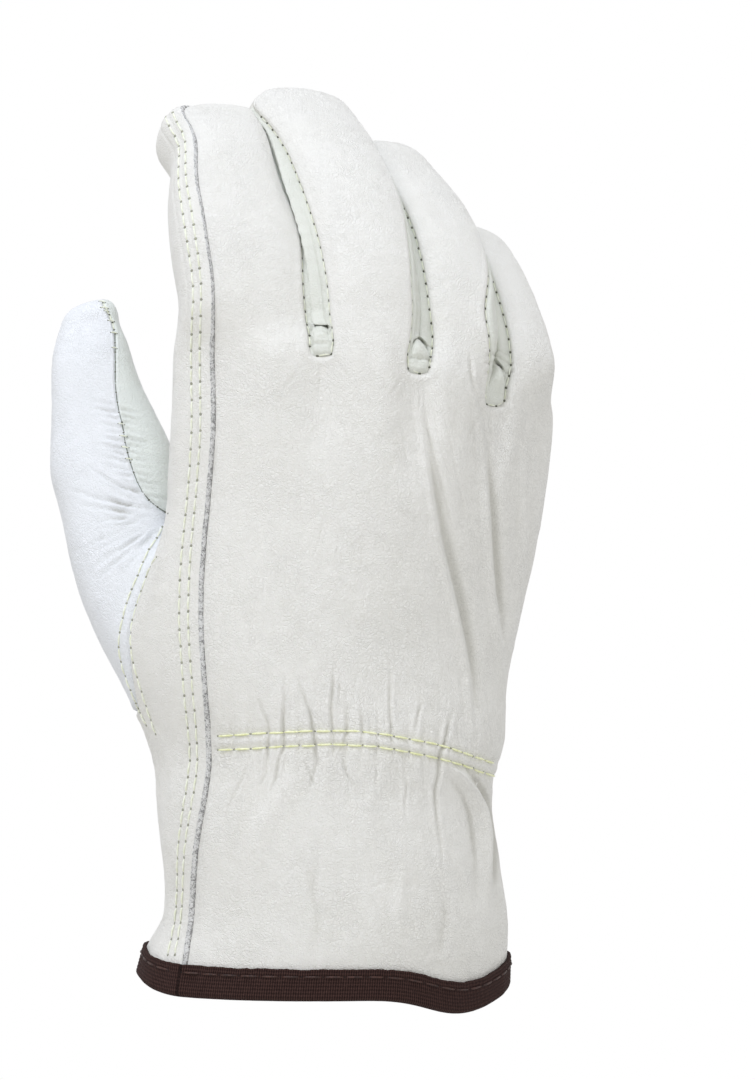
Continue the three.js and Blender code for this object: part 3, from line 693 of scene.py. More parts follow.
# The lowest and the highest number of a piece at each point. They differ on a seam.
fine_pieces = at_level(cell_pieces, LEVELS)
least = np.full(len(skin), len(PIECES))
most = np.full(len(skin), -1)
np.minimum.at(least, level_quads[-1].reshape(-1), np.repeat(fine_pieces, 4))
np.maximum.at(most, level_quads[-1].reshape(-1), np.repeat(fine_pieces, 4))
seam_points = np.flatnonzero(least != most)


def seen(at):
    """Where points are in the front view."""
    reach = at[:, 1] - EYE[1]
    return np.stack([VIEW_CENTRE[0] + VIEW_SCALE * (at[:, 0] - EYE[0]) / reach,
                     VIEW_CENTRE[1] - VIEW_SCALE * (at[:, 2] - EYE[2]) / reach], 1)


# Creases and ridges on the side that the camera sees: width in millimetres, then places in
# the front view with the height there in millimetres, below 0 for a crease
CREASES = [
    # gathers above the shirring and through it
    (0.5, (255, 689, 0), (261, 709, -0.35), (267, 722, -0.5), (269, 732, -0.5), (267, 750, -0.45),
     (265, 775, -0.35), (257, 791, 0)),
    (0.45, (283, 672, 0), (285, 701, -0.4), (283, 720, -0.5), (284, 746, -0.4), (280, 758, -0.45),
     (276, 779, -0.35), (269, 799, 0)),
    (0.5, (292, 668, 0), (304, 697, -0.45), (310, 714, -0.6), (314, 734, -0.6), (317, 763, -0.5),
     (314, 775, -0.4), (308, 797, 0)),
    (0.4, (304, 762, -0.2), (311, 778, -0.4), (319, 797, 0)),
    (0.5, (335, 655, 0), (333, 689, -0.5), (331, 709, -0.55), (333, 732, -0.5), (334, 748, -0.3),
     (334, 762, 0)),
    (0.4, (339, 673, 0), (340, 688, -0.3), (341, 703, 0)),
    (0.4, (348, 700, 0), (347, 718, -0.4), (347, 732, -0.3), (341, 750, -0.3), (347, 775, -0.4),
     (358, 797, 0)),
    (0.4, (361, 706, 0), (362, 722, -0.4), (363, 732, -0.35), (363, 750, 0)),
    (0.5, (392, 662, 0), (390, 701, -0.45), (392, 734, -0.5), (391, 754, 0)),
    (0.45, (423, 699, 0), (419, 712, -0.4), (417, 722, -0.4), (414, 742, 0)),
    (0.55, (454, 706, 0), (449, 726, -0.6), (445, 746, -0.7), (441, 752, -0.6), (439, 775, -0.5),
     (435, 791, -0.6), (437, 816, -0.5), (441, 844, -0.3), (444, 874, 0)),
    (0.4, (404, 770, 0), (407, 786, -0.3), (405, 806, -0.3), (408, 826, 0)),
    (0.4, (378, 762, 0), (376, 782, -0.3), (380, 806, 0)),
    (0.45, (250, 756, 0), (244, 776, -0.3), (232, 800, -0.2), (224, 826, 0)),
    # soft folds below the shirring
    (2.4, (300, 768, 0), (285, 790, 0.4), (265, 822, 0.5), (247, 860, 0.3), (240, 890, 0)),
    (2.0, (374, 760, 0), (372, 790, 0.35), (368, 830, 0.3), (366, 860, 0)),
    (1.6, (400, 830, 0), (405, 870, 0.35), (398, 915, 0.4), (402, 950, 0)),
    (1.2, (318, 850, 0), (313, 890, -0.35), (318, 930, -0.3), (314, 955, 0)),
    (1.3, (440, 880, 0), (446, 915, -0.4), (441, 950, -0.3)),
    # the lobe of leather by the little finger's side of the wrist
    (1.3, (446, 766, 0), (460, 774, 1.2), (472, 790, 1.9), (480, 811, 2.3), (484, 836, 2.2),
     (486, 858, 1.6), (487, 900, 0.6), (485, 930, 0)),
    (1.2, (474, 776, 0), (486, 798, -1.3), (492, 822, -1.7), (495, 845, -1.4), (496, 870, -0.5),
     (496, 890, 0)),
    # long folds down from the gaps, each a thin ridge with a hollow beside it
    (0.9, (417, 372, 0), (419, 412, 0.4), (427, 473, 0.5), (437, 535, 0.5), (450, 592, 0.6),
     (462, 641, 0.7), (468, 678, 0.7), (472, 742, 0)),
    (1.8, (424, 400, 0), (434, 470, -0.5), (446, 535, -0.65), (460, 592, -0.75), (472, 650, -0.6),
     (478, 720, 0)),
    (0.9, (472, 360, 0), (480, 420, 0.5), (486, 494, 0.55), (489, 535, 0.55), (493, 592, 0.65),
     (499, 649, 0.6), (503, 690, 0)),
    (1.5, (487, 440, 0), (494, 494, -0.65), (496, 535, -0.75), (500, 592, -0.65), (506, 640, 0)),
    (0.9, (523, 425, 0), (525, 494, 0.5), (523, 559, 0.6), (517, 596, 0.5), (505, 660, 0)),
    (0.5, (470, 352, 0), (471, 366, -0.5), (472, 379, -0.55), (480, 408, -0.4), (487, 428, 0)),
    (0.35, (421, 391, 0), (428, 430, -0.16), (438, 470, -0.2), (452, 524, -0.18), (464, 572, 0)),
    (0.35, (431, 395, 0), (437, 430, -0.14), (447, 470, -0.18), (460, 520, -0.16), (470, 560, 0)),
    (0.35, (444, 410, 0), (452, 450, -0.14), (462, 500, -0.18), (472, 548, 0)),
    (0.35, (398, 400, 0), (404, 440, -0.14), (410, 490, -0.12), (420, 540, 0)),
    # creases below the floors of the gaps
    (0.4, (300, 366, 0), (292, 378, -0.25), (281, 392, 0)),
    (0.4, (318, 363, 0), (320, 380, -0.3), (319, 400, 0)),
    (0.4, (336, 360, 0), (345, 373, -0.25), (352, 386, 0)),
    (0.4, (418, 382, 0), (420, 398, -0.3), (418, 416, 0)),
    (0.4, (434, 375, 0), (444, 389, -0.25), (452, 404, 0)),
    (0.4, (404, 374, 0), (396, 387, -0.25), (387, 399, 0)),
    (0.4, (492, 412, 0), (490, 426, -0.3), (494, 444, 0)),
    # small marks in the grain
    (0.3, (336.5, 551, -0.6), (337.5, 552, -0.6)),
    (0.3, (339, 579, -0.3), (340, 580, -0.3)),
    (0.3, (218, 191, -0.3), (219, 192, -0.3)),
    (0.3, (254, 202, -0.25), (255, 203, -0.25)),
    (0.3, (333, 217, -0.3), (333, 219, -0.3)),
    # folds in the floors of the gaps
    (0.4, (314, 327, -0.25), (323, 326, -0.35), (331, 327, -0.25)),
    (0.4, (314, 334, -0.25), (323, 333, -0.35), (331, 334, -0.25)),
    (0.4, (310, 344, -0.3), (321, 343, -0.45), (331, 344, -0.3)),
    (0.4, (411, 345, -0.35), (420, 344, -0.45), (431, 346, -0.35)),
    (0.4, (411, 358, -0.4), (420, 359, -0.5), (431, 359, -0.4)),
    (0.4, (486, 356, -0.3), (498, 353, -0.4), (511, 356, -0.3)),
    (0.4, (486, 363, -0.3), (498, 361, -0.4), (512, 364, -0.3)),
    (0.4, (486, 372, -0.4), (497, 374, -0.5), (513, 371, -0.4)),
]

# Where the back is shirred, down the front view
SHIRRED = {"down": 748, "reach": 48}
# Seams in the front view: the web where the leather of the thumb is drawn together, the two rows
# of shirring, the two rows round the base of the thumb, and the seam that closes the thumb
WEB = (171, 514)
SHIRRING = (
    ((218, 736), (266, 733), (320, 731), (363, 732), (392, 736), (420, 741), (444, 746), (472, 756),
     (495, 763)),
    ((218, 750), (249, 749), (283, 746), (332, 744), (378, 746), (407, 751), (431, 756), (458, 763),
     (493, 775)),
)
KEYSTONE_OUTER = ((163, 526), (158, 536), (148, 551), (138, 575), (128, 599), (121, 627), (118.6, 640),
                  (119.5, 654), (126, 678), (134.6, 700), (143.6, 720), (152, 736))
KEYSTONE_INNER = ((157, 556), (152.5, 563), (141, 592), (136, 607), (132, 623), (130.7, 641), (132, 657),
                  (136, 673), (140.5, 688), (152.5, 725), (156, 735))
THUMB_SEAM = ((103, 303), (112, 321), (115, 334), (115.4, 359), (115.4, 384), (118.4, 409), (122, 423),
              (126.4, 448), (132.7, 470), (137.7, 483), (144, 494), (151, 502), (161, 509.5), (168, 513.5))
# Where a pale thread crosses the seam of the thumb: how far down, and half the thread's length
CROSS_STITCHES = ((302, 4), (308, 5), (311, 3), (321, 4), (333, 4), (348, 3), (424, 4), (436, 4.5),
                  (447, 4.5), (459, 4))


def thumb_wrinkles():
    """Fine wrinkles that fan out from the web of the thumb, and shorter ones beside its seam."""
    chance = random.Random(4)
    found = []
    for k in range(22):
        turn = math.radians(-50 + 4 * k + chance.uniform(-1, 1))
        near, far = chance.uniform(16, 44), chance.uniform(62, 112)
        bow = chance.uniform(2, 9) * (k - 10) / 9
        depth = -chance.uniform(0.28, 0.52)
        places = []
        for share in (0, 0.25, 0.5, 0.75, 1):
            reach = near + (far - near) * share
            sideways = bow * 4 * share * (1 - share) + chance.uniform(-0.8, 0.8)
            places.append((WEB[0] - reach * math.cos(turn) + sideways * math.sin(turn),
                           WEB[1] - reach * math.sin(turn) + sideways * math.cos(turn),
                           depth * math.sin(math.pi * share**0.8)))
        found.append((chance.uniform(0.42, 0.58), *places))
    seam = np.array(THUMB_SEAM, float)
    for k in range(26):
        down = 405 + 3.6 * k + chance.uniform(-1, 1)
        across = np.interp(down, seam[:, 1], seam[:, 0])
        side = 1 if k % 2 else -1
        length = chance.uniform(16, 34) if side < 0 else chance.uniform(14, 30)
        slope = chance.uniform(0.1, 0.3)
        depth = -chance.uniform(0.26, 0.5)
        found.append((chance.uniform(0.36, 0.48), (across + 3 * side, down, depth),
                      (across + side * (3 + length * 0.5), down + side * slope * length * 0.5, depth * 0.8),
                      (across + side * (3 + length), down + side * slope * length, 0)))
    return found


def faint_creases():
    """Barely visible creases all over the back, most of them along the hand."""
    chance = random.Random(9)
    found = []
    for _ in range(150):
        across, down = chance.uniform(222, 530), chance.uniform(380, 950)
        turn = chance.gauss(0.12, 0.32) if chance.random() < 0.75 else chance.uniform(0, math.pi)
        length, depth = chance.uniform(14, 70), -chance.uniform(0.05, 0.15)
        bow = chance.uniform(-0.12, 0.12) * length
        places = []
        for share in (0, 0.33, 0.67, 1):
            sideways = bow * 4 * share * (1 - share) + chance.uniform(-1, 1)
            places.append((across + share * length * math.sin(turn) + sideways * math.cos(turn),
                           down + share * length * math.cos(turn) - sideways * math.sin(turn),
                           depth * math.sin(math.pi * (0.05 + 0.9 * share))))
        found.append((chance.uniform(0.28, 0.5), *places))
    return found


def crease_heights(view, creases):
    """Height of each point from creases and ridges, by its place in the front view."""
    scale = VIEW_SCALE / 1000
    total = np.zeros(len(view))
    for width, *places in creases:
        path = np.array(places, float)
        margin = 5 * width * scale
        low, high = path[:, :2].min(0) - margin, path[:, :2].max(0) + margin
        near = np.flatnonzero(((view > low) & (view < high)).all(1))
        if not len(near):
            continue
        best = np.full(len(near), 1e9)
        height = np.zeros(len(near))
        for start, end in zip(path[:-1], path[1:]):
            span = end[:2] - start[:2]
            t = np.clip((view[near] - start[:2]) @ span / (span @ span), 0, 1)
            distance = np.linalg.norm(view[near] - start[:2] - t[:, None] * span, axis=1)
            closer = distance < best
            best[closer] = distance[closer]
            height[closer] = (start[2] + (end[2] - start[2]) * t)[closer]
        across = best / scale / width
        shape = np.exp(-np.abs(across) ** 1.6) - 0.32 * bell((across - 1.9) / 0.85)
        total[near] += height * shape
    return total


def wander(at, size, seed, octaves=3):
    """Smooth random heights from -1 to 1 over lengths of about size."""
    offset = Vector((seed * 17.3, seed * 5.9, seed * 11.1))
    values = np.empty(len(at))
    for i, place in enumerate(at / size):
        values[i] = noise.fractal(Vector(place) + offset, 0.8, 2.1, octaves)
    return values


def hole_places(rows):
    """Places of the needle holes along rows in the front view, as seen from the front."""
    found = []
    for row in rows:
        path = np.array(row, float)
        lengths = lengths_along(path)
        narrow = np.interp(path[:, 0], (218, 400, 500), (1, 0.96, 0.55))
        pitch = STITCH_PITCH * VIEW_SCALE / 1000
        at, places = 0, []
        while at < lengths[-1]:
            places.append([np.interp(at, lengths, path[:, k]) for k in range(2)])
            at += pitch * np.interp(at, lengths, narrow)
        found.append(np.array(places))
    return found


shirring_holes = hole_places(SHIRRING)


def pucker_heights(view):
    """Puckers between the shirring stitches, a groove under each row and a ridge between the rows."""
    scale = VIEW_SCALE / 1000
    half = 7
    across, down = view.T
    row_across, row_down = np.array(SHIRRING[0]).T
    from_middle = down - (np.interp(across, row_across, row_down) + half)
    fade = bell(from_middle / (5.5 * scale)) * ((across > 205) & (across < 505))
    puckers = sum(-0.42 * bell((across - x) / (0.75 * scale)) for x, _ in shirring_holes[0])
    groove = sum(bell((from_middle - side) / (0.9 * scale)) for side in (-half, half))
    inside = (across > 214) & (across < 500)
    return puckers * fade + (0.25 * bell(from_middle / (1.1 * scale)) - 0.3 * groove) * inside


# How far each point moves out from the smooth skin
fine_quads = level_quads[LEVELS]
seam_distance, _ = nearest(skin, skin[seam_points])
view = seen(skin)
facing = smooth((0.25 - skin_normals[:, 1]) / 0.5)
creases = crease_heights(view, CREASES + faint_creases())
on_thumb = least == THUMB_PIECE
thumb_groove = (0.35, *((across, down, -0.45) for across, down in THUMB_SEAM))
creases[on_thumb] += crease_heights(view[on_thumb], [*thumb_wrinkles(), thumb_groove])
# Fine streaks up and down the glove, drawn together by the shirring
by_shirring = bell((view[:, 1] - SHIRRED["down"]) / SHIRRED["reach"]) * ~on_thumb
streaks = 0.26 * wander(skin * (1, 1, 0.12), 1.7, 6) * by_shirring
# A seam is a groove with a soft swelling on both sides, and the leather is a little uneven
height = -0.8 * bell(seam_distance / 0.5) + 0.25 * bell((seam_distance - 1.7) / 1.0)
height += facing * (creases + streaks + pucker_heights(view))
height += 0.18 * wander(skin, 16, 1) + 0.06 * wander(skin, 3.2, 2)
# How deep in a fold each point is, and how near a seam: the share of painted shade that the material puts
# there
folded = np.clip(-facing * (creases * 0.6 + streaks * 0.7), 0, 1)
crease_share = np.clip(0.2 * bell(seam_distance / 0.5) + folded, 0, 1)


def soften(values, quads, passes):
    """Each value moves halfway to the mean of its neighbours, several times."""
    both = both_ways(np.unique(edges_of(quads), axis=0))
    count = np.maximum(np.bincount(both[:, 0], minlength=len(values)), 1)
    chosen = np.unique(both)
    for _ in range(passes):
        mean = np.bincount(both[:, 0], values[both[:, 1]], len(values)) / count
        values[chosen] += (mean[chosen] - values[chosen]) / 2


# The walls between two fingers lean over until they nearly touch: how much of the way each goes
GAP_SHARES = {INDEX_WALL: 0.36, MIDDLE_RADIAL: 0.64, MIDDLE_ULNAR: 0.3, RING_RADIAL: 0.7,
              RING_ULNAR: 0.3, LITTLE_WALL: 0.7}
# What stays open between them, and how wide a gap is left as it is. A look across a gap starts a
# little way out of the wall.
GAP_LEFT = 0.25
GAP_WIDE = 6.5
GAP_FADE = 2
LOOK_START = 0.3
LOOK_REACH = 9
# The fold along the middle of each gap's floor: its height and width
FLOOR_FOLDS = ((gap1, 0.9, 1.7), (gap2, 2.2, 1.9), (gap3, 3.2, 2.6))


def close_gaps():
    """How far each point of the walls moves across its gap, none at the seams and the floor."""
    places = skin + skin_normals * height[:, None]
    solid = BVHTree.FromPolygons(places.tolist(), level_quads[2].tolist())
    is_wall = np.isin(fine_pieces, list(GAP_SHARES))
    quads = fine_quads[is_wall]
    ids = np.unique(quads)
    piece_at = np.full(len(skin), -1)
    piece_at[quads.reshape(-1)] = np.repeat(fine_pieces[is_wall], 4)
    on_seam = np.flatnonzero((least == HAND_PIECE) & (most > THUMB_PIECE))
    edge_distance, _ = nearest(places[ids], places[on_seam])
    floor_distance, _ = nearest(places[ids], places[gap_floor_points])
    move = np.zeros(len(skin))
    for n, v in enumerate(ids):
        start = places[v] + skin_normals[v] * LOOK_START
        hit = solid.ray_cast(Vector(start), Vector(skin_normals[v]), LOOK_REACH)
        if hit[0] is None:
            continue
        clear = hit[3] + LOOK_START
        lean = smooth((edge_distance[n] - 0.2) / 1.7) * smooth((floor_distance[n] - 0.05) / 0.6)
        lean *= 1 - smooth((clear - GAP_WIDE) / GAP_FADE)
        move[v] = GAP_SHARES[piece_at[v]] * max(clear - GAP_LEFT, 0) * lean
    fixed = move[on_seam].copy()
    soften(move, quads, 4)
    move[on_seam] = fixed
    return move


def fold_floors():
    """A fold along the middle of each floor, which fills the slot between the walls above it."""
    for (left, right), rise, width in FLOOR_FOLDS:
        middles = np.array([skin[chain_at(pair, LEVELS)[2 ** (LEVELS - 1)]] for pair in zip(left, right)])
        line = at_marks(np.linspace(0, 2, 17), (0, 1, 2), middles)
        corners = {*left, *right, *(top_row[n] for n in GAP_LINES)}
        floor = np.isin(cells, list(corners)).all(1) & np.isin(cells, [*left, *right]).any(1)
        ids = np.unique(fine_quads[at_level(floor, LEVELS)])
        height[ids] += rise * bell(nearest(skin[ids], line)[0] / width)


fold_floors()
gap_floor_points = np.unique([v for gap in (gap1, gap2, gap3) for side in gap for v in side])
height += close_gaps()

# How far each point of the lapped side is from the cut edge, and from which place of it
lap_distance = np.full(len(skin), FAR_OFF)
lap_nearest = np.zeros(len(skin), int)
lapped_points = np.unique(fine_quads[at_level(cell_lapped, LEVELS)])
lap_distance[lapped_points], lap_nearest[lapped_points] = nearest(skin[lapped_points], lap_places)


def row_distance(row, z):
    """How far a row of topstitch is from the cut edge: below, and near the fingertip."""
    return row[0] + (row[1] - row[0]) * smooth((z - ROW_CHANGE["z"]) / ROW_CHANGE["reach"])


def raised(ids):
    """Places of points on the lapped side: higher, and set back from the cut edge."""
    distance, index = lap_distance[ids], lap_nearest[ids]
    share = lap_taper[index] * (1 - smooth((distance - LAP_FLAT) / LAP_FADE))
    from_cut = distance - LAP_SETBACK
    grooves = sum(0.22 * bell((from_cut - row_distance(row, skin[ids, 2])) / 0.5) for row in LAP_ROWS)
    lift = LAP_STEP * share - grooves * lap_taper[index]
    back = LAP_SETBACK * lap_taper[index] * np.exp(-distance / 3)
    place = skin[ids] + skin_normals[ids] * (height[ids] + lift)[:, None]
    return place + lap_aside[index] * back[:, None]


# Places and normals of the finished skin. Line 0 is there twice: as the back's edge under the
# cut, and as the lapped side's edge above it.
doubled = lap_chain[:-1]
remap = np.arange(len(skin))
remap[doubled] = len(skin) + np.arange(len(doubled))


def quads_at(level):
    quads = level_quads[level].copy()
    lapped = at_level(cell_lapped, level)
    quads[lapped] = remap[quads[lapped]]
    return quads


place = skin + skin_normals * height[:, None]
free = np.setdiff1d(lapped_points, doubled)
place[free] = raised(free)
place = np.concatenate([place, raised(doubled)])
outward = np.concatenate([skin_normals, skin_normals[doubled]])
place_normals = normals_of(place, quads_at(LEVELS))
crease_share = np.concatenate([crease_share, crease_share[doubled]])
# The side of the thumb beyond its seam, above the web, has a tint of its own
seam_across, seam_down = np.array(THUMB_SEAM).T
beyond_seam = view[:, 0] - np.interp(view[:, 1], seam_down, seam_across)
above_web = smooth((WEB[1] + 10 - view[:, 1]) / 20)
inner_share = smooth((beyond_seam + 1) / 3) * above_web * facing * on_thumb
inner_share = np.concatenate([inner_share, inner_share[doubled]])


def add_object(name, data):
    made = bpy.data.objects.new(name, data)
    bpy.context.scene.collection.objects.link(made)
    return made


def make_mesh(name, at, faces, material, **values):
    """A piece from places and faces. The values, one for each place, are there for its material."""
    mesh = bpy.data.meshes.new(name)
    mesh.from_pydata((np.asarray(at) / 1000).tolist(), [], [list(map(int, face)) for face in faces])
    mesh.validate()
    mesh.update()
    mesh.polygons.foreach_set("use_smooth", [True] * len(mesh.polygons))
    mesh.materials.append(material)
    for key, numbers in values.items():
        layer = mesh.attributes.new(key, "FLOAT", "POINT")
        layer.data.foreach_set("value", np.asarray(numbers, np.float32))
    return add_object(name, mesh)


def wall_of(chosen, level):
    """One wall of leather: the fine outer side, a coarser inner side and the rim between."""
    outer = quads_at(level)[at_level(chosen, level)]
    inner = quads_at(1)[at_level(chosen, 1)]
    edges = set()
    for loop in inner.tolist():
        edges.update(zip(loop, loop[1:] + loop[:1]))
    rim = [edge for edge in edges if edge[::-1] not in edges]
    back = {int(new): int(old) for old, new in zip(doubled, remap[doubled])}
    faces = outer.tolist()
    ids = np.unique(inner)
    number = {int(v): len(place) + n for n, v in enumerate(ids)}
    inside = place[ids] - outward[ids] * LEATHER
    faces += [[number[v] for v in loop[::-1]] for loop in inner.tolist()]
    for a, b in rim:
        chain = chain_at((back.get(a, a), back.get(b, b)), level, 1).tolist()
        if a in back and b in back:
            chain = remap[chain].tolist()
        chain[0], chain[-1] = a, b
        faces.append([*chain[::-1], number[a], number[b]])
    used = np.unique(np.concatenate([np.asarray(face) for face in faces]))
    number = np.full(len(place) + len(ids), -1)
    number[used] = np.arange(len(used))
    at = np.concatenate([place, inside])[used]
    return at, [number[face] for face in faces], used


class Value:
    """A shader value that can be written into sums."""

    def __init__(self, shader, socket):
        self.shader, self.socket = shader, socket

    def __add__(self, other):
        return self.shader.maths("ADD", self, other)

    def __sub__(self, other):
        return self.shader.maths("SUBTRACT", self, other)

    def __rsub__(self, other):
        return self.shader.maths("SUBTRACT", other, self)

    def __mul__(self, other):
        return self.shader.maths("MULTIPLY", self, other)

    __radd__ = __add__


class Shader:
    """A material built from nodes, with sums as plain expressions."""

    def __init__(self, name):
        self.material = bpy.data.materials.new(name)
        self.material.use_nodes = True
        self.tree = self.material.node_tree
        self.tree.nodes.clear()
        self.where = self.node("ShaderNodeTexCoord", {}, {}, "Object")

    def node(self, kind, settings, values, output=0):
        made = self.tree.nodes.new(kind)
        for name, value in settings.items():
            setattr(made, name, value)
        for key, value in values.items():
            if isinstance(value, Value):
                self.tree.links.new(value.socket, made.inputs[key])
            else:
                made.inputs[key].default_value = value
        return Value(self, made.outputs[output]) if len(made.outputs) else None

    def maths(self, operation, first, second=0.0, clamp=False):
        settings = {"operation": operation, "use_clamp": clamp}
        return self.node("ShaderNodeMath", settings, {0: first, 1: second})

    def noise(self, scale, detail=3.0, roughness=0.55, distortion=0.0):
        values = {"Vector": self.where, "Scale": scale, "Detail": detail,
                  "Roughness": roughness, "Distortion": distortion}
        return self.node("ShaderNodeTexNoise", {}, values)

    def borders(self, scale, where):
        """How far each place is from the nearest border between small cells."""
        values = {"Vector": where, "Scale": scale}
        return self.node("ShaderNodeTexVoronoi", {"feature": "DISTANCE_TO_EDGE"}, values, "Distance")

    def bend(self, where, scale, reach):
        """Places moved about by soft noise, so that lines drawn there wander."""
        colours = self.node("ShaderNodeTexNoise", {}, {"Vector": where, "Scale": scale, "Detail": 2.0}, 1)
        moved = self.node("ShaderNodeVectorMath", {"operation": "SUBTRACT"}, {0: colours, 1: (0.5, 0.5, 0.5)})
        moved = self.node("ShaderNodeVectorMath", {"operation": "SCALE"}, {0: moved, "Scale": reach})
        return self.node("ShaderNodeVectorMath", {"operation": "ADD"}, {0: where, 1: moved})

    def ramp(self, value, low, high):
        return self.node("ShaderNodeMapRange", {"interpolation_type": "SMOOTHSTEP"},
                         {"Value": value, "From Min": low, "From Max": high})

    def mix(self, share, first, second):
        return self.node("ShaderNodeMix", {"data_type": "RGBA"}, {0: share, 6: first, 7: second}, 2)

    def attribute(self, name, output="Fac"):
        return self.node("ShaderNodeAttribute", {"attribute_name": name}, {}, output)

    def bump(self, height, distance, strength=1.0):
        return self.node("ShaderNodeBump", {}, {"Strength": strength, "Distance": distance, "Height": height})

    def finish(self, **values):
        named = {key.replace("_", " "): value for key, value in values.items()}
        surface = self.node("ShaderNodeBsdfPrincipled", {}, named)
        self.node("ShaderNodeOutputMaterial", {}, {"Surface": surface})
        return self.material


def colour(red, green, blue):
    """A colour from its usual 0 to 255 values."""
    def linear(value):
        value /= 255
        return value / 12.92 if value <= 0.04045 else ((value + 0.055) / 1.055) ** 2.4
    return (linear(red), linear(green), linear(blue), 1.0)


# Painted shade: the darker colour that the deepest folds are drawn towards
FOLD_SHADE_COLOUR = colour(178, 176, 166)


def leather(name, light, shade, rough, grain, inner=None):
    """Full grain leather: shallow pebbles, fine creases, soft patches, and painted shade in the folds and
    along the seams.
    """
    shader = Shader(name)
    bent = shader.bend(shader.where, 260, 0.0016)
    patches = shader.noise(34, 3) * 0.6 + shader.noise(130, 4) * 0.4
    islands = shader.ramp(shader.borders(1050, bent), 0.0, 0.2)
    fine = shader.ramp(shader.borders(2300, bent), 0.0, 0.25)
    furrows = shader.noise(420, 5, 0.6, 0.8)
    strong = shader.ramp(shader.noise(60, 3), 0.2, 0.8)
    crease = shader.attribute("crease")
    # Towards the shade colour go random tone from the patches, grain and furrows, and painted shade in the
    # folds and along the seams
    share = (patches - 0.5) * 0.42 + crease * 0.7 + (1 - islands) * 0.07 + (furrows - 0.5) * 0.3
    share = shader.maths("ADD", share, 0.2, clamp=True)
    height = islands * (strong * 0.4 + 0.16) + fine * 0.25 + furrows * 0.8
    tint = shader.mix(share, light, shade)
    if inner:
        tint = shader.mix(shader.attribute("inner"), tint, shader.mix(share, inner, shade))
    # Deep folds are drawn darker still: painted shade
    tint = shader.mix(shader.ramp(crease, 0.08, 0.45) * 0.45, tint, FOLD_SHADE_COLOUR)
    return shader.finish(
        Base_Color=tint,
        Roughness=rough + (patches - 0.5) * 0.14 + crease * 0.1,
        Normal=shader.bump(height, 0.0003, grain),
        Specular_IOR_Level=0.42,
        Sheen_Weight=0.25,
        Sheen_Roughness=0.4,
    )


def cut_edge():
    """The fibres of leather where it is cut."""
    shader = Shader("cut_edge")
    fibres = shader.noise(2600, 5, 0.7, 0.6) * 0.7 + shader.noise(700, 3) * 0.3
    # Towards the foot of the strip and its top edge the fibres are drawn darker: painted shade
    share = shader.ramp(fibres - shader.attribute("crease") * 0.07, 0.4, 0.54)
    return shader.finish(Base_Color=shader.mix(share, colour(138, 138, 137), colour(230, 230, 229)),
                         Roughness=0.95, Normal=shader.bump(fibres, 0.0003), Specular_IOR_Level=0.1)


def thread(name, light, shade):
    shader = Shader(name)
    share = shader.ramp(shader.noise(900, 3, 0.6), 0.35, 0.65)
    return shader.finish(Base_Color=shader.mix(share, light, shade), Roughness=0.5,
                         Normal=shader.bump(shader.noise(2600, 2), 0.0001), Specular_IOR_Level=0.4)


def woven_tape():
    """Ribbed tape: ribs along it, and fine threads across them."""
    shader = Shader("woven_tape")
    weave = shader.attribute("weave", "Vector")
    split = shader.node("ShaderNodeSeparateXYZ", {}, {0: weave}, 0)
    across = shader.node("ShaderNodeSeparateXYZ", {}, {0: weave}, 1)
    threads = shader.maths("SINE", split * (2 * math.pi / TAPE_THREAD)) * 0.5 + 0.5
    ribs = shader.maths("SINE", across * (2 * math.pi / TAPE_RIB)) * 0.5 + 0.5
    lint = shader.noise(1400, 4, 0.7)
    share = shader.ramp(threads * 0.45 + ribs * 0.2 + lint * 0.7, 0.35, 1.1)
    return shader.finish(Base_Color=shader.mix(share, colour(36, 22, 21), colour(76, 54, 49)), Roughness=0.88,
                         Normal=shader.bump(threads * 0.8 + lint * 0.6, 0.0002), Specular_IOR_Level=0.15)


def plain(name, tint, rough):
    shader = Shader(name)
    specks = shader.ramp(shader.noise(700, 2), 0.3, 0.7)
    darker = [value * 0.7 for value in tint[:3]] + [1]
    return shader.finish(Base_Color=shader.mix(specks, tint, darker), Roughness=rough)


BACK_LEATHER = leather("back_leather", colour(242, 241, 237), colour(219, 217, 206), 0.5, 0.8)
THUMB_LEATHER = leather("thumb_leather", colour(243, 245, 249), colour(219, 223, 222), 0.5, 0.7,
                        colour(236, 241, 235))
# The walls of the gaps are coloured darker than the back leather: painted shade between the fingers
WALL_LEATHER = leather("wall_leather", colour(232, 234, 226), colour(206, 208, 196), 0.55, 0.7)
CUT_EDGE = cut_edge()
THREAD_PALE = thread("thread_pale", colour(247, 249, 236), colour(234, 237, 214))
THREAD_YELLOW = thread("thread_yellow", colour(248, 250, 214), colour(232, 235, 180))
THREAD_BROWN = thread("thread_brown", colour(74, 46, 38), colour(44, 26, 22))
# Needle holes are small dark discs laid on the leather: painted shade in the holes
NEEDLE_HOLE_SHADE = plain("needle_hole_shade", colour(174, 176, 158), 0.95)
TAPE_HOLE_SHADE = plain("tape_hole_shade", colour(34, 20, 18), 0.95)
DARK_HOLE_SHADE = plain("dark_hole_shade", colour(106, 108, 94), 0.95)
# A dark line along the seam of the thumb: painted shade in its groove
SEAM_SHADE = plain("seam_shade", colour(128, 136, 126), 0.95)
TAPE = woven_tape()


def finish_piece(piece, slot, *nodes):
    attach(piece, "root")
    if nodes:
        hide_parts(*nodes)
    return piece


# Each piece of leather: its parts, how finely each is shown, its slot and material
SHOWN = [(HAND_PIECE, "back", 4), (HAND_PIECE, "fingers", 4), (HAND_PIECE, "lap", 4), (HAND_PIECE, "palm", 3)]
SHOWN += [(number, "", 4) for number in range(THUMB_PIECE, len(PIECES))]
SLOTS = {HAND_PIECE: ("back_leather", BACK_LEATHER), THUMB_PIECE: ("thumb_leather", THUMB_LEATHER)}
# The shown pieces of leather, by name, for looking up places on them
trees = {}


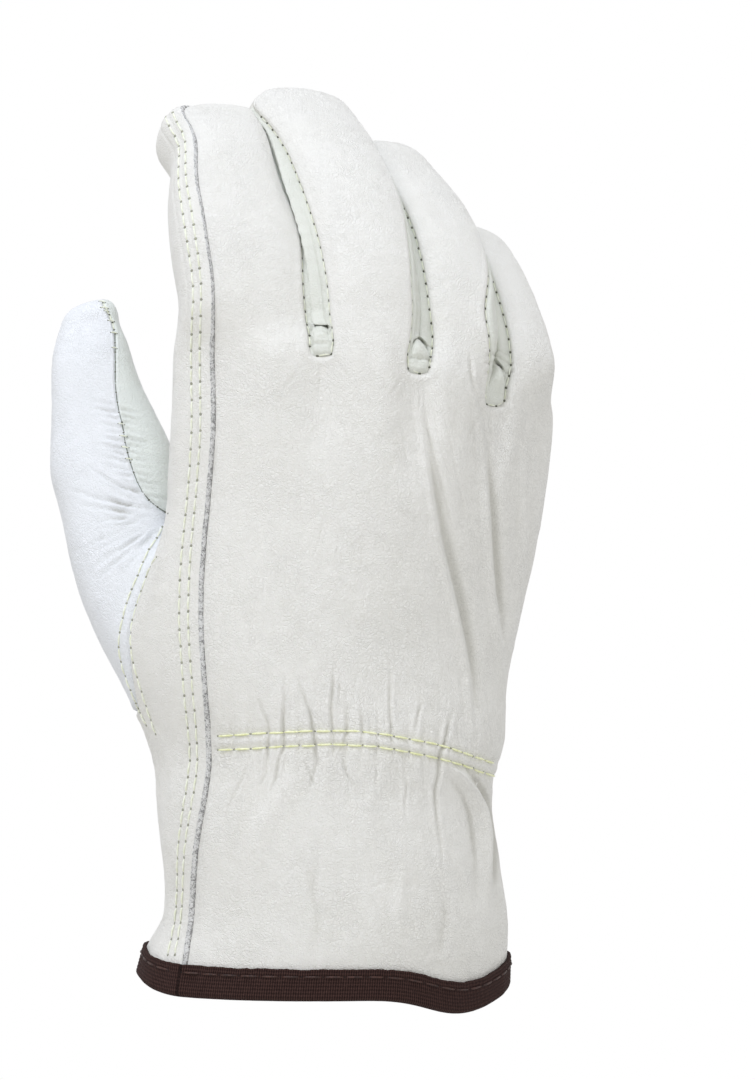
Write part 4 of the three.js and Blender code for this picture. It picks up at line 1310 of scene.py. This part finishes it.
def show_leather():
    for number, part, level in SHOWN:
        at, faces, used = wall_of((cell_pieces == number) & (cell_parts == part), level)
        on_skin = used < len(place)
        share, inner = np.zeros(len(used)), np.zeros(len(used))
        # The painted shade of folds and seams goes to the material as a value at each point
        share[on_skin] = crease_share[used[on_skin]]
        inner[on_skin] = inner_share[used[on_skin]]
        slot, material = SLOTS.get(number, ("wall_leather", WALL_LEATHER))
        name = "_".join([PIECES[number], part or "whole"])
        piece = make_mesh(name, at, faces, material, crease=share, inner=inner)
        normals = np.zeros((len(used), 3))
        normals[on_skin] = place_normals[used[on_skin]]
        piece.data.normals_split_custom_set_from_vertices(normals.tolist())
        finish_piece(piece, slot, PIECES[number])
        trees[name] = BVHTree.FromPolygons(at.tolist(), [list(face) for face in faces])


show_leather()


def seen_from_front(places):
    """Surface places and directions out of it, for places in the front view."""
    found = []
    for across, down in places:
        ray = Vector(((across - VIEW_CENTRE[0]) / VIEW_SCALE, 1, -(down - VIEW_CENTRE[1]) / VIEW_SCALE))
        hits = [tree.ray_cast(Vector(EYE), ray.normalized()) for tree in trees.values()]
        hits = [hit for hit in hits if hit[0] is not None]
        if hits:
            best = min(hits, key=lambda hit: hit[3])
            found.append((np.array(best[0]), np.array(best[1])))
    return found


def on_leather(places):
    """The nearest places on the lap side, and directions out of it."""
    found = [trees["hand_leather_lap"].find_nearest(Vector(place)) for place in places]
    return [(np.array(hit[0]), np.array(hit[1])) for hit in found]


def densify(path, gap):
    """A smooth line through places, with a place about every gap."""
    path = np.array(path, float)
    lengths = lengths_along(path)
    slopes = np.gradient(path, lengths, axis=0)
    at = np.linspace(0, lengths[-1], max(2, int(lengths[-1] / gap)))
    i = np.clip(np.searchsorted(lengths, at) - 1, 0, len(path) - 2)
    span = (lengths[i + 1] - lengths[i])[:, None]
    t = (at - lengths[i])[:, None] / span
    h00, h10, h01, h11 = 2 * t**3 - 3 * t**2 + 1, t**3 - 2 * t**2 + t, 3 * t**2 - 2 * t**3, t**3 - t**2
    return h00 * path[i] + h10 * span * slopes[i] + h01 * path[i + 1] + h11 * span * slopes[i + 1]


def holes_along(surface, pitch, start=0.0):
    """Needle holes at an even pitch along a line on the leather."""
    at, out = columns_of(surface)
    lengths = lengths_along(at)
    marks = np.arange(start, lengths[-1], pitch)
    return at_marks(marks, lengths, at), unit(at_marks(marks, lengths, out))


def unit_mesh(name, rings, sides, radius_at, height_at):
    """A small closed shape from x = -0.5 to 0.5."""
    at, faces = [(-0.5, 0, height_at(-0.5))], []
    for x in rings:
        for k in range(sides):
            turn = 2 * math.pi * k / sides
            at.append((x, radius_at(x) * math.cos(turn), height_at(x) + radius_at(x) * math.sin(turn)))
    at.append((0.5, 0, height_at(0.5)))
    last = len(at) - 1
    for k in range(sides):
        after = (k + 1) % sides
        faces.append((0, 1 + after, 1 + k))
        faces.append((last, last - sides + k, last - sides + after))
        for ring in range(len(rings) - 1):
            a, b = 1 + ring * sides + k, 1 + ring * sides + after
            faces.append((a, b, b + sides, a + sides))
    mesh = bpy.data.meshes.new(name)
    mesh.from_pydata(at, [], faces)
    mesh.polygons.foreach_set("use_smooth", [True] * len(faces))
    return bpy.data.objects.new(name, mesh)


STITCH_UNIT = unit_mesh("stitch_unit", (-0.47, -0.38, -0.2, 0, 0.2, 0.38, 0.47), 8,
                        lambda x: 0.5 * (1 - abs(2 * x) ** 5) ** 0.5, lambda x: 0.45 * (1 - 4 * x * x) - 0.25)
HOLE_UNIT = unit_mesh("hole_unit", (-0.4, 0, 0.4), 8, lambda x: 0.5 * (1 - 4 * x * x) ** 0.5, lambda x: 0)


def repeat_tree():
    """Puts a unit shape at each point, turned to its direction, with small differences."""
    tree = bpy.data.node_groups.new("repeat", "GeometryNodeTree")
    for name, kind in (("Geometry", "Geometry"), ("Unit", "Object"), ("Material", "Material"),
                       ("Unevenness", "Float"), ("Seed", "Int")):
        tree.interface.new_socket(name, in_out="INPUT", socket_type="NodeSocket" + kind)
    tree.interface.new_socket("Geometry", in_out="OUTPUT", socket_type="NodeSocketGeometry")

    def node(kind, settings, links):
        made = tree.nodes.new(kind)
        for name, value in settings.items():
            setattr(made, name, value)
        for key, value in links.items():
            if isinstance(value, bpy.types.NodeSocket):
                tree.links.new(value, made.inputs[key])
            else:
                made.inputs[key].default_value = value
        return made.outputs

    given = node("NodeGroupInput", {}, {})
    named = {name: node("GeometryNodeInputNamedAttribute", {"data_type": "FLOAT_VECTOR"}, {"Name": name})[0]
             for name in ("along", "outward", "size")}
    turned = node("FunctionNodeAlignRotationToVector", {"axis": "X"}, {"Vector": named["along"]})[0]
    turned = node("FunctionNodeAlignRotationToVector", {"axis": "Z", "pivot_axis": "X"},
                  {"Rotation": turned, "Vector": named["outward"]})[0]
    spare = node("ShaderNodeMath", {"operation": "SUBTRACT"}, {0: 1.0, 1: given["Unevenness"]})[0]
    share = node("FunctionNodeRandomValue", {"data_type": "FLOAT"},
                 {"Min": spare, "Max": 1.0, "Seed": given["Seed"]})["Value"]
    scale = node("ShaderNodeVectorMath", {"operation": "SCALE"}, {0: named["size"], "Scale": share})[0]
    shape = node("GeometryNodeObjectInfo", {}, {"Object": given["Unit"]})["Geometry"]
    placed = node("GeometryNodeInstanceOnPoints", {},
                  {"Points": given["Geometry"], "Instance": shape, "Rotation": turned, "Scale": scale})[0]
    real = node("GeometryNodeRealizeInstances", {}, {"Geometry": placed})[0]
    dressed = node("GeometryNodeSetMaterial", {}, {"Geometry": real, "Material": given["Material"]})[0]
    node("NodeGroupOutput", {}, {"Geometry": dressed})
    return tree


REPEAT = repeat_tree()


def repeated(name, places, along, outward, size, shape, material, unevenness=0.08, seed=1):
    """A piece made of the same small shape at many places, each a little different in size."""
    mesh = bpy.data.meshes.new(name)
    mesh.from_pydata((np.asarray(places) / 1000).tolist(), [], [])
    for key, values in (("along", along), ("outward", outward), ("size", np.asarray(size) / 1000)):
        layer = mesh.attributes.new(key, "FLOAT_VECTOR", "POINT")
        layer.data.foreach_set("vector", np.asarray(values, np.float32).reshape(-1))
    source = add_object(name + "_points", mesh)
    modifier = source.modifiers.new("repeat", "NODES")
    modifier.node_group = REPEAT
    given = {"Unit": shape, "Material": material, "Unevenness": unevenness, "Seed": seed}
    for item in REPEAT.interface.items_tree:
        if item.in_out == "INPUT" and item.name in given:
            modifier[item.identifier] = given[item.name]
    graph = bpy.context.evaluated_depsgraph_get()
    graph.update()
    made = bpy.data.meshes.new_from_object(source.evaluated_get(graph))
    bpy.data.objects.remove(source)
    return add_object(name, made)


class Sewing:
    """Collects the stitches and needle holes of one kind of seam. The holes are small dark discs on the
    leather: painted shade in them.
    """

    def __init__(self, hole_shade):
        self.stitches, self.holes = [], []
        self.hole_shade = hole_shade

    def add(self, holes, outward, thickness=THREAD, lift=0.12, hole=0.8, keep=0.86, over=None):
        """Stitches from hole to hole. They lie over the places given in over, one for each."""
        for n in range(len(holes) - 1):
            along, out = holes[n + 1] - holes[n], outward[n] + outward[n + 1]
            length = np.linalg.norm(along)
            out = out / np.linalg.norm(out)
            middle = (holes[n] + holes[n + 1]) / 2
            rise = max(0, (over[n] - middle) @ out) if over is not None else 0
            self.stitches.append((middle + out * (lift + rise), along / length, out,
                                  (length * keep, thickness, thickness)))
        for place, out in zip(holes, outward):
            side = np.cross(out, (0.0, 0.0, 1.0))
            side /= np.linalg.norm(side)
            self.holes.append((place + out * 0.02, side, out, (hole, hole * 0.9, 0.22)))

    def make(self, name, slot, material, seed):
        for part, rows, shape, tint in (("stitches", self.stitches, STITCH_UNIT, material),
                                        ("holes", self.holes, HOLE_UNIT, self.hole_shade)):
            if rows:
                piece = repeated(name + "_" + part, *columns_of(rows), shape, tint, seed=seed)
                finish_piece(piece, slot)


# Two rows of topstitch beside the cut edge, from the cuff to the tip of the index finger
top_sewing = Sewing(NEEDLE_HOLE_SHADE)
for row in LAP_ROWS:
    aside = LAP_SETBACK * 0.6 + row_distance(row, lap_places[:, 2])
    path = lap_places + lap_aside * aside[:, None] + lap_outward * LAP_STEP
    # from above the tape to a little before the fingertip
    path = path[(lap_lengths > 8.5) & (lap_lengths < lap_lengths[-1] - 5)]
    surface = on_leather(path[::3])
    top_sewing.add(*holes_along(surface, STITCH_PITCH, 0.6), hole=0.95)
for row in (KEYSTONE_OUTER, KEYSTONE_INNER):
    surface = seen_from_front(densify(row, 3))
    top_sewing.add(*holes_along(surface, STITCH_PITCH * 0.92, 0.3))
top_sewing.make("topstitch", "back_leather", THREAD_PALE, 3)

shirring_sewing = Sewing(NEEDLE_HOLE_SHADE)
for row in shirring_holes:
    surface = seen_from_front(row)
    middles = seen_from_front((row[:-1] + row[1:]) / 2)
    shirring_sewing.add(*columns_of(surface), lift=0.22, hole=0.7, keep=0.95,
                        over=[place for place, _ in middles])
shirring_sewing.make("shirring", "back_leather", THREAD_YELLOW, 5)

# The seam that closes the thumb is drawn as a dark line along its groove, painted shade, with a pale thread
# that crosses it here and there
thumb_sewing = Sewing(DARK_HOLE_SHADE)
surface = seen_from_front(densify(THUMB_SEAM[2:], 3))
thumb_sewing.add(*holes_along(surface, 2.9), thickness=0.27, lift=0.0, hole=0.66, keep=1.04)
thumb_sewing.make("thumb_seam", "thumb_leather", SEAM_SHADE, 7)
cross_sewing = Sewing(DARK_HOLE_SHADE)
surface = seen_from_front(densify(THUMB_SEAM[:3], 3))
cross_sewing.add(*holes_along(surface, 2.4), thickness=0.4, lift=0.1, hole=0.6, keep=0.9)
for down, half in CROSS_STITCHES:
    across = np.interp(down, seam_down, seam_across)
    ends = seen_from_front(((across - half, down - 0.6), (across + half * 0.6, down + 0.8)))
    if len(ends) == 2:
        cross_sewing.add(*columns_of(ends), thickness=0.36, lift=0.3, hole=0.4, keep=1.0)
cross_sewing.make("thumb_thread", "thumb_leather", THREAD_PALE, 8)


def inseams():
    """The seams between the backs or fronts of two fingers and the walls of the gap."""
    sewing = Sewing(DARK_HOLE_SHADE)
    for left, right in ((index, middle), (middle, ring), (ring, little)):
        for left_column, right_column in ((4, 0), (8, 10)):
            down = [level[left_column] for level in left[len(FINGER_RINGS)::-1]]
            up = [level[right_column] for level in right[:len(FINGER_RINGS) + 1]]
            chain = chain_at(down + up, LEVELS)
            holes, outs = holes_along(list(zip(place[chain], place_normals[chain])), 3.9, 1.0)
            sewing.add(holes + outs * 0.22, outs, thickness=0.36, lift=0.1, hole=0.86, keep=0.8)
    sewing.make("inseam", "wall_leather", THREAD_PALE, 11)


inseams()


def sleeve(count, length, closed):
    """Faces between rings of count points each, from the first ring to the last or round again."""
    faces = []
    for i in range(length if closed else length - 1):
        start, after = i * count, (i + 1) % length * count
        for k in range(count):
            beside = (k + 1) % count
            faces.append((start + k, start + beside, after + beside, after + k))
    return faces


def cut_edge_strip():
    """The cut side of the lapped leather, seen as a narrow sloping strip with ragged fibres."""
    # How far back from the line of the cut and how far up each corner of the strip is
    profile = ((-0.05, -0.2), (0.1, 0.25), (0.32, 0.62), (0.6, 0.9), (0.9, 1.14), (1.2, 1.34), (1.45, 1.2),
               (1.3, 0.1), (0.6, -0.35))
    ragged = 6
    marks = np.arange(0, lap_lengths[-1], 0.3)

    def along(values):
        return at_marks(marks, lap_lengths, values)

    base = along(lap_places + lap_outward * height[lap_chain][:, None])
    out, aside = along(lap_outward), along(lap_aside)
    taper = np.interp(marks, lap_lengths, lap_taper)[:, None]
    rings = []
    for k, (back, up) in enumerate(profile):
        ring = base + (aside * back * (LAP_SETBACK / 1.1) + out * up * (LAP_STEP / 1.3)) * taper
        if k < ragged:
            rough, uneven = wander(ring, 0.7, 4, 2), wander(ring, 0.9, 8, 2)
            ring = ring + out * 0.13 * rough[:, None] + aside * 0.14 * uneven[:, None]
        rings.append(ring)
    count, length = len(profile), len(marks)
    at = np.stack(rings, 1).reshape(-1, 3)
    faces = sleeve(count, length, False)
    faces += [tuple(range(count))[::-1], tuple((length - 1) * count + k for k in range(count))]
    # These values darken the strip fully at its foot and hidden underside, and partly at its top edge:
    # painted shade
    return at, faces, np.tile([1, 0.5, 0, 0, 0, 0.3, 0.7, 1, 1], length)


at, faces, shade = cut_edge_strip()
finish_piece(make_mesh("cut_edge_worn", at, faces, CUT_EDGE, crease=shade), "back_leather")


def binding():
    """Woven tape folded over the cuff: its section carried round the edge of the leather."""
    ring, above = (chain_at([*row, row[0]], 3)[:-1] for row in hand[:2])
    share = LAP_STEP * (1 - smooth((lap_distance[ring] - LAP_FLAT) / LAP_FADE))
    share = np.where(lap_distance[ring] < FAR_OFF, share, 0)
    for _ in range(4):
        share = (np.roll(share, 1) + 2 * share + np.roll(share, -1)) / 4
    low = skin[ring] + skin_normals[ring] * (height[ring] + share)[:, None]
    high = skin[above] + skin_normals[above] * (height[above] + share)[:, None]
    up = unit(high - low)
    out = unit(skin_normals[ring] - up * (skin_normals[ring] * up).sum(1)[:, None])
    outside, inside = TAPE_CLEAR, -LEATHER - TAPE_CLEAR
    middle, radius = -LEATHER / 2, LEATHER / 2 + TAPE_CLEAR + TAPE_THICK
    section = [(outside + TAPE_THICK + 0.05 * math.sin(2 * math.pi * u / TAPE_RIB), u)
               for u in np.arange(7.2, 0.2, -0.16)]
    section += [(middle + radius * math.cos(turn), 0.1 - radius * 0.7 * math.sin(turn))
                for turn in np.linspace(0.2, math.pi - 0.2, 9)]
    section += [(inside - TAPE_THICK, u) for u in np.linspace(0.3, 6.6, 12)]
    section += [(inside, u) for u in np.linspace(6.7, 0, 8)]
    section += [(outside, u) for u in np.linspace(0, 7.1, 8)]
    run, reach = lengths_along(low), lengths_along(section)
    wave = 0.22 * wander(low, 9, 12) + 0.16 * wander(low, 1.1, 13)
    at, weave = [], []
    for i in range(len(low)):
        for (o, u), v in zip(section, reach):
            at.append(low[i] + out[i] * o + up[i] * (u + (wave[i] if u > 4 else 0)))
            weave.append((run[i], v, 0))
    piece = make_mesh("cuff_binding_worn", at, sleeve(len(section), len(low), True), TAPE)
    layer = piece.data.attributes.new("weave", "FLOAT_VECTOR", "POINT")
    layer.data.foreach_set("vector", np.array(weave, np.float32).reshape(-1))
    finish_piece(piece, "binding_tape", "cuff_binding")
    row = low + out * (TAPE_CLEAR + TAPE_THICK + 0.02) + up * TAPE_ROW
    return list(zip(np.concatenate([row, row[:1]]), np.concatenate([out, out[:1]])))


tape_sewing = Sewing(TAPE_HOLE_SHADE)
tape_sewing.add(*holes_along(binding(), BINDING_PITCH), thickness=0.6, lift=0.05, hole=0.5)
tape_sewing.make("binding", "binding_tape", THREAD_BROWN, 9)


def camera():
    data = bpy.data.cameras.new("camera")
    data.sensor_width = 36
    data.lens = data.sensor_width * VIEW_SCALE / (2 * VIEW_CENTRE[1])
    data.clip_start, data.clip_end = 0.05, 20
    made = add_object("camera", data)
    made.location = EYE / 1000
    made.rotation_euler = (math.pi / 2, 0, 0)
    bpy.context.scene.camera = made


def lamp(name, place, aim, size, power, tint=(1, 1, 1)):
    data = bpy.data.lights.new(name, "AREA")
    data.size, data.energy, data.color = size, power, tint
    made = add_object(name, data)
    made.location = place
    made.rotation_euler = (Vector(aim) - Vector(place)).to_track_quat("-Z", "Y").to_euler()


def backdrop():
    """A plain white floor that turns up into a round wall far from the glove."""
    profile = ((0.0, -0.08), (1.6, -0.08), (2.1, 0.0), (2.4, 0.3), (2.5, 0.8), (2.5, 2.6), (0.0, 3.0))
    sides = 48
    at = []
    for radius, up in profile:
        for k in range(sides):
            turn = 2 * math.pi * k / sides
            at.append((radius * math.cos(turn) * 1000, radius * math.sin(turn) * 1000, up * 1000))
    faces = [face[::-1] for face in sleeve(sides, len(profile), False)]
    shader = Shader("white_paper")
    glow = shader.node("ShaderNodeEmission", {}, {"Color": (1, 1, 1, 1)})
    shader.node("ShaderNodeOutputMaterial", {}, {"Surface": glow})
    piece = make_mesh("backdrop", at, faces, shader.material)
    piece.visible_diffuse = piece.visible_glossy = piece.visible_shadow = False


camera()
backdrop()
world = bpy.data.worlds.new("studio")
world.use_nodes = True
background = world.node_tree.nodes["Background"]
background.inputs["Color"].default_value = (1, 1, 1, 1)
background.inputs["Strength"].default_value = 0.733
bpy.context.scene.world = world
lamp("key", (-0.8, -1.1, 1.1), aim=(0, 0, 0.14), size=0.7, power=4.2, tint=(1.0, 0.995, 0.985))
lamp("fill", (0.9, -1.2, 0.1), aim=(0, 0, 0.12), size=0.9, power=1.2)
lamp("top", (-0.25, -0.35, 1.2), aim=(0, 0, 0.2), size=0.6, power=5.7, tint=(0.79, 0.85, 1.0))
bpy.context.scene.view_settings.view_transform = "Standard"
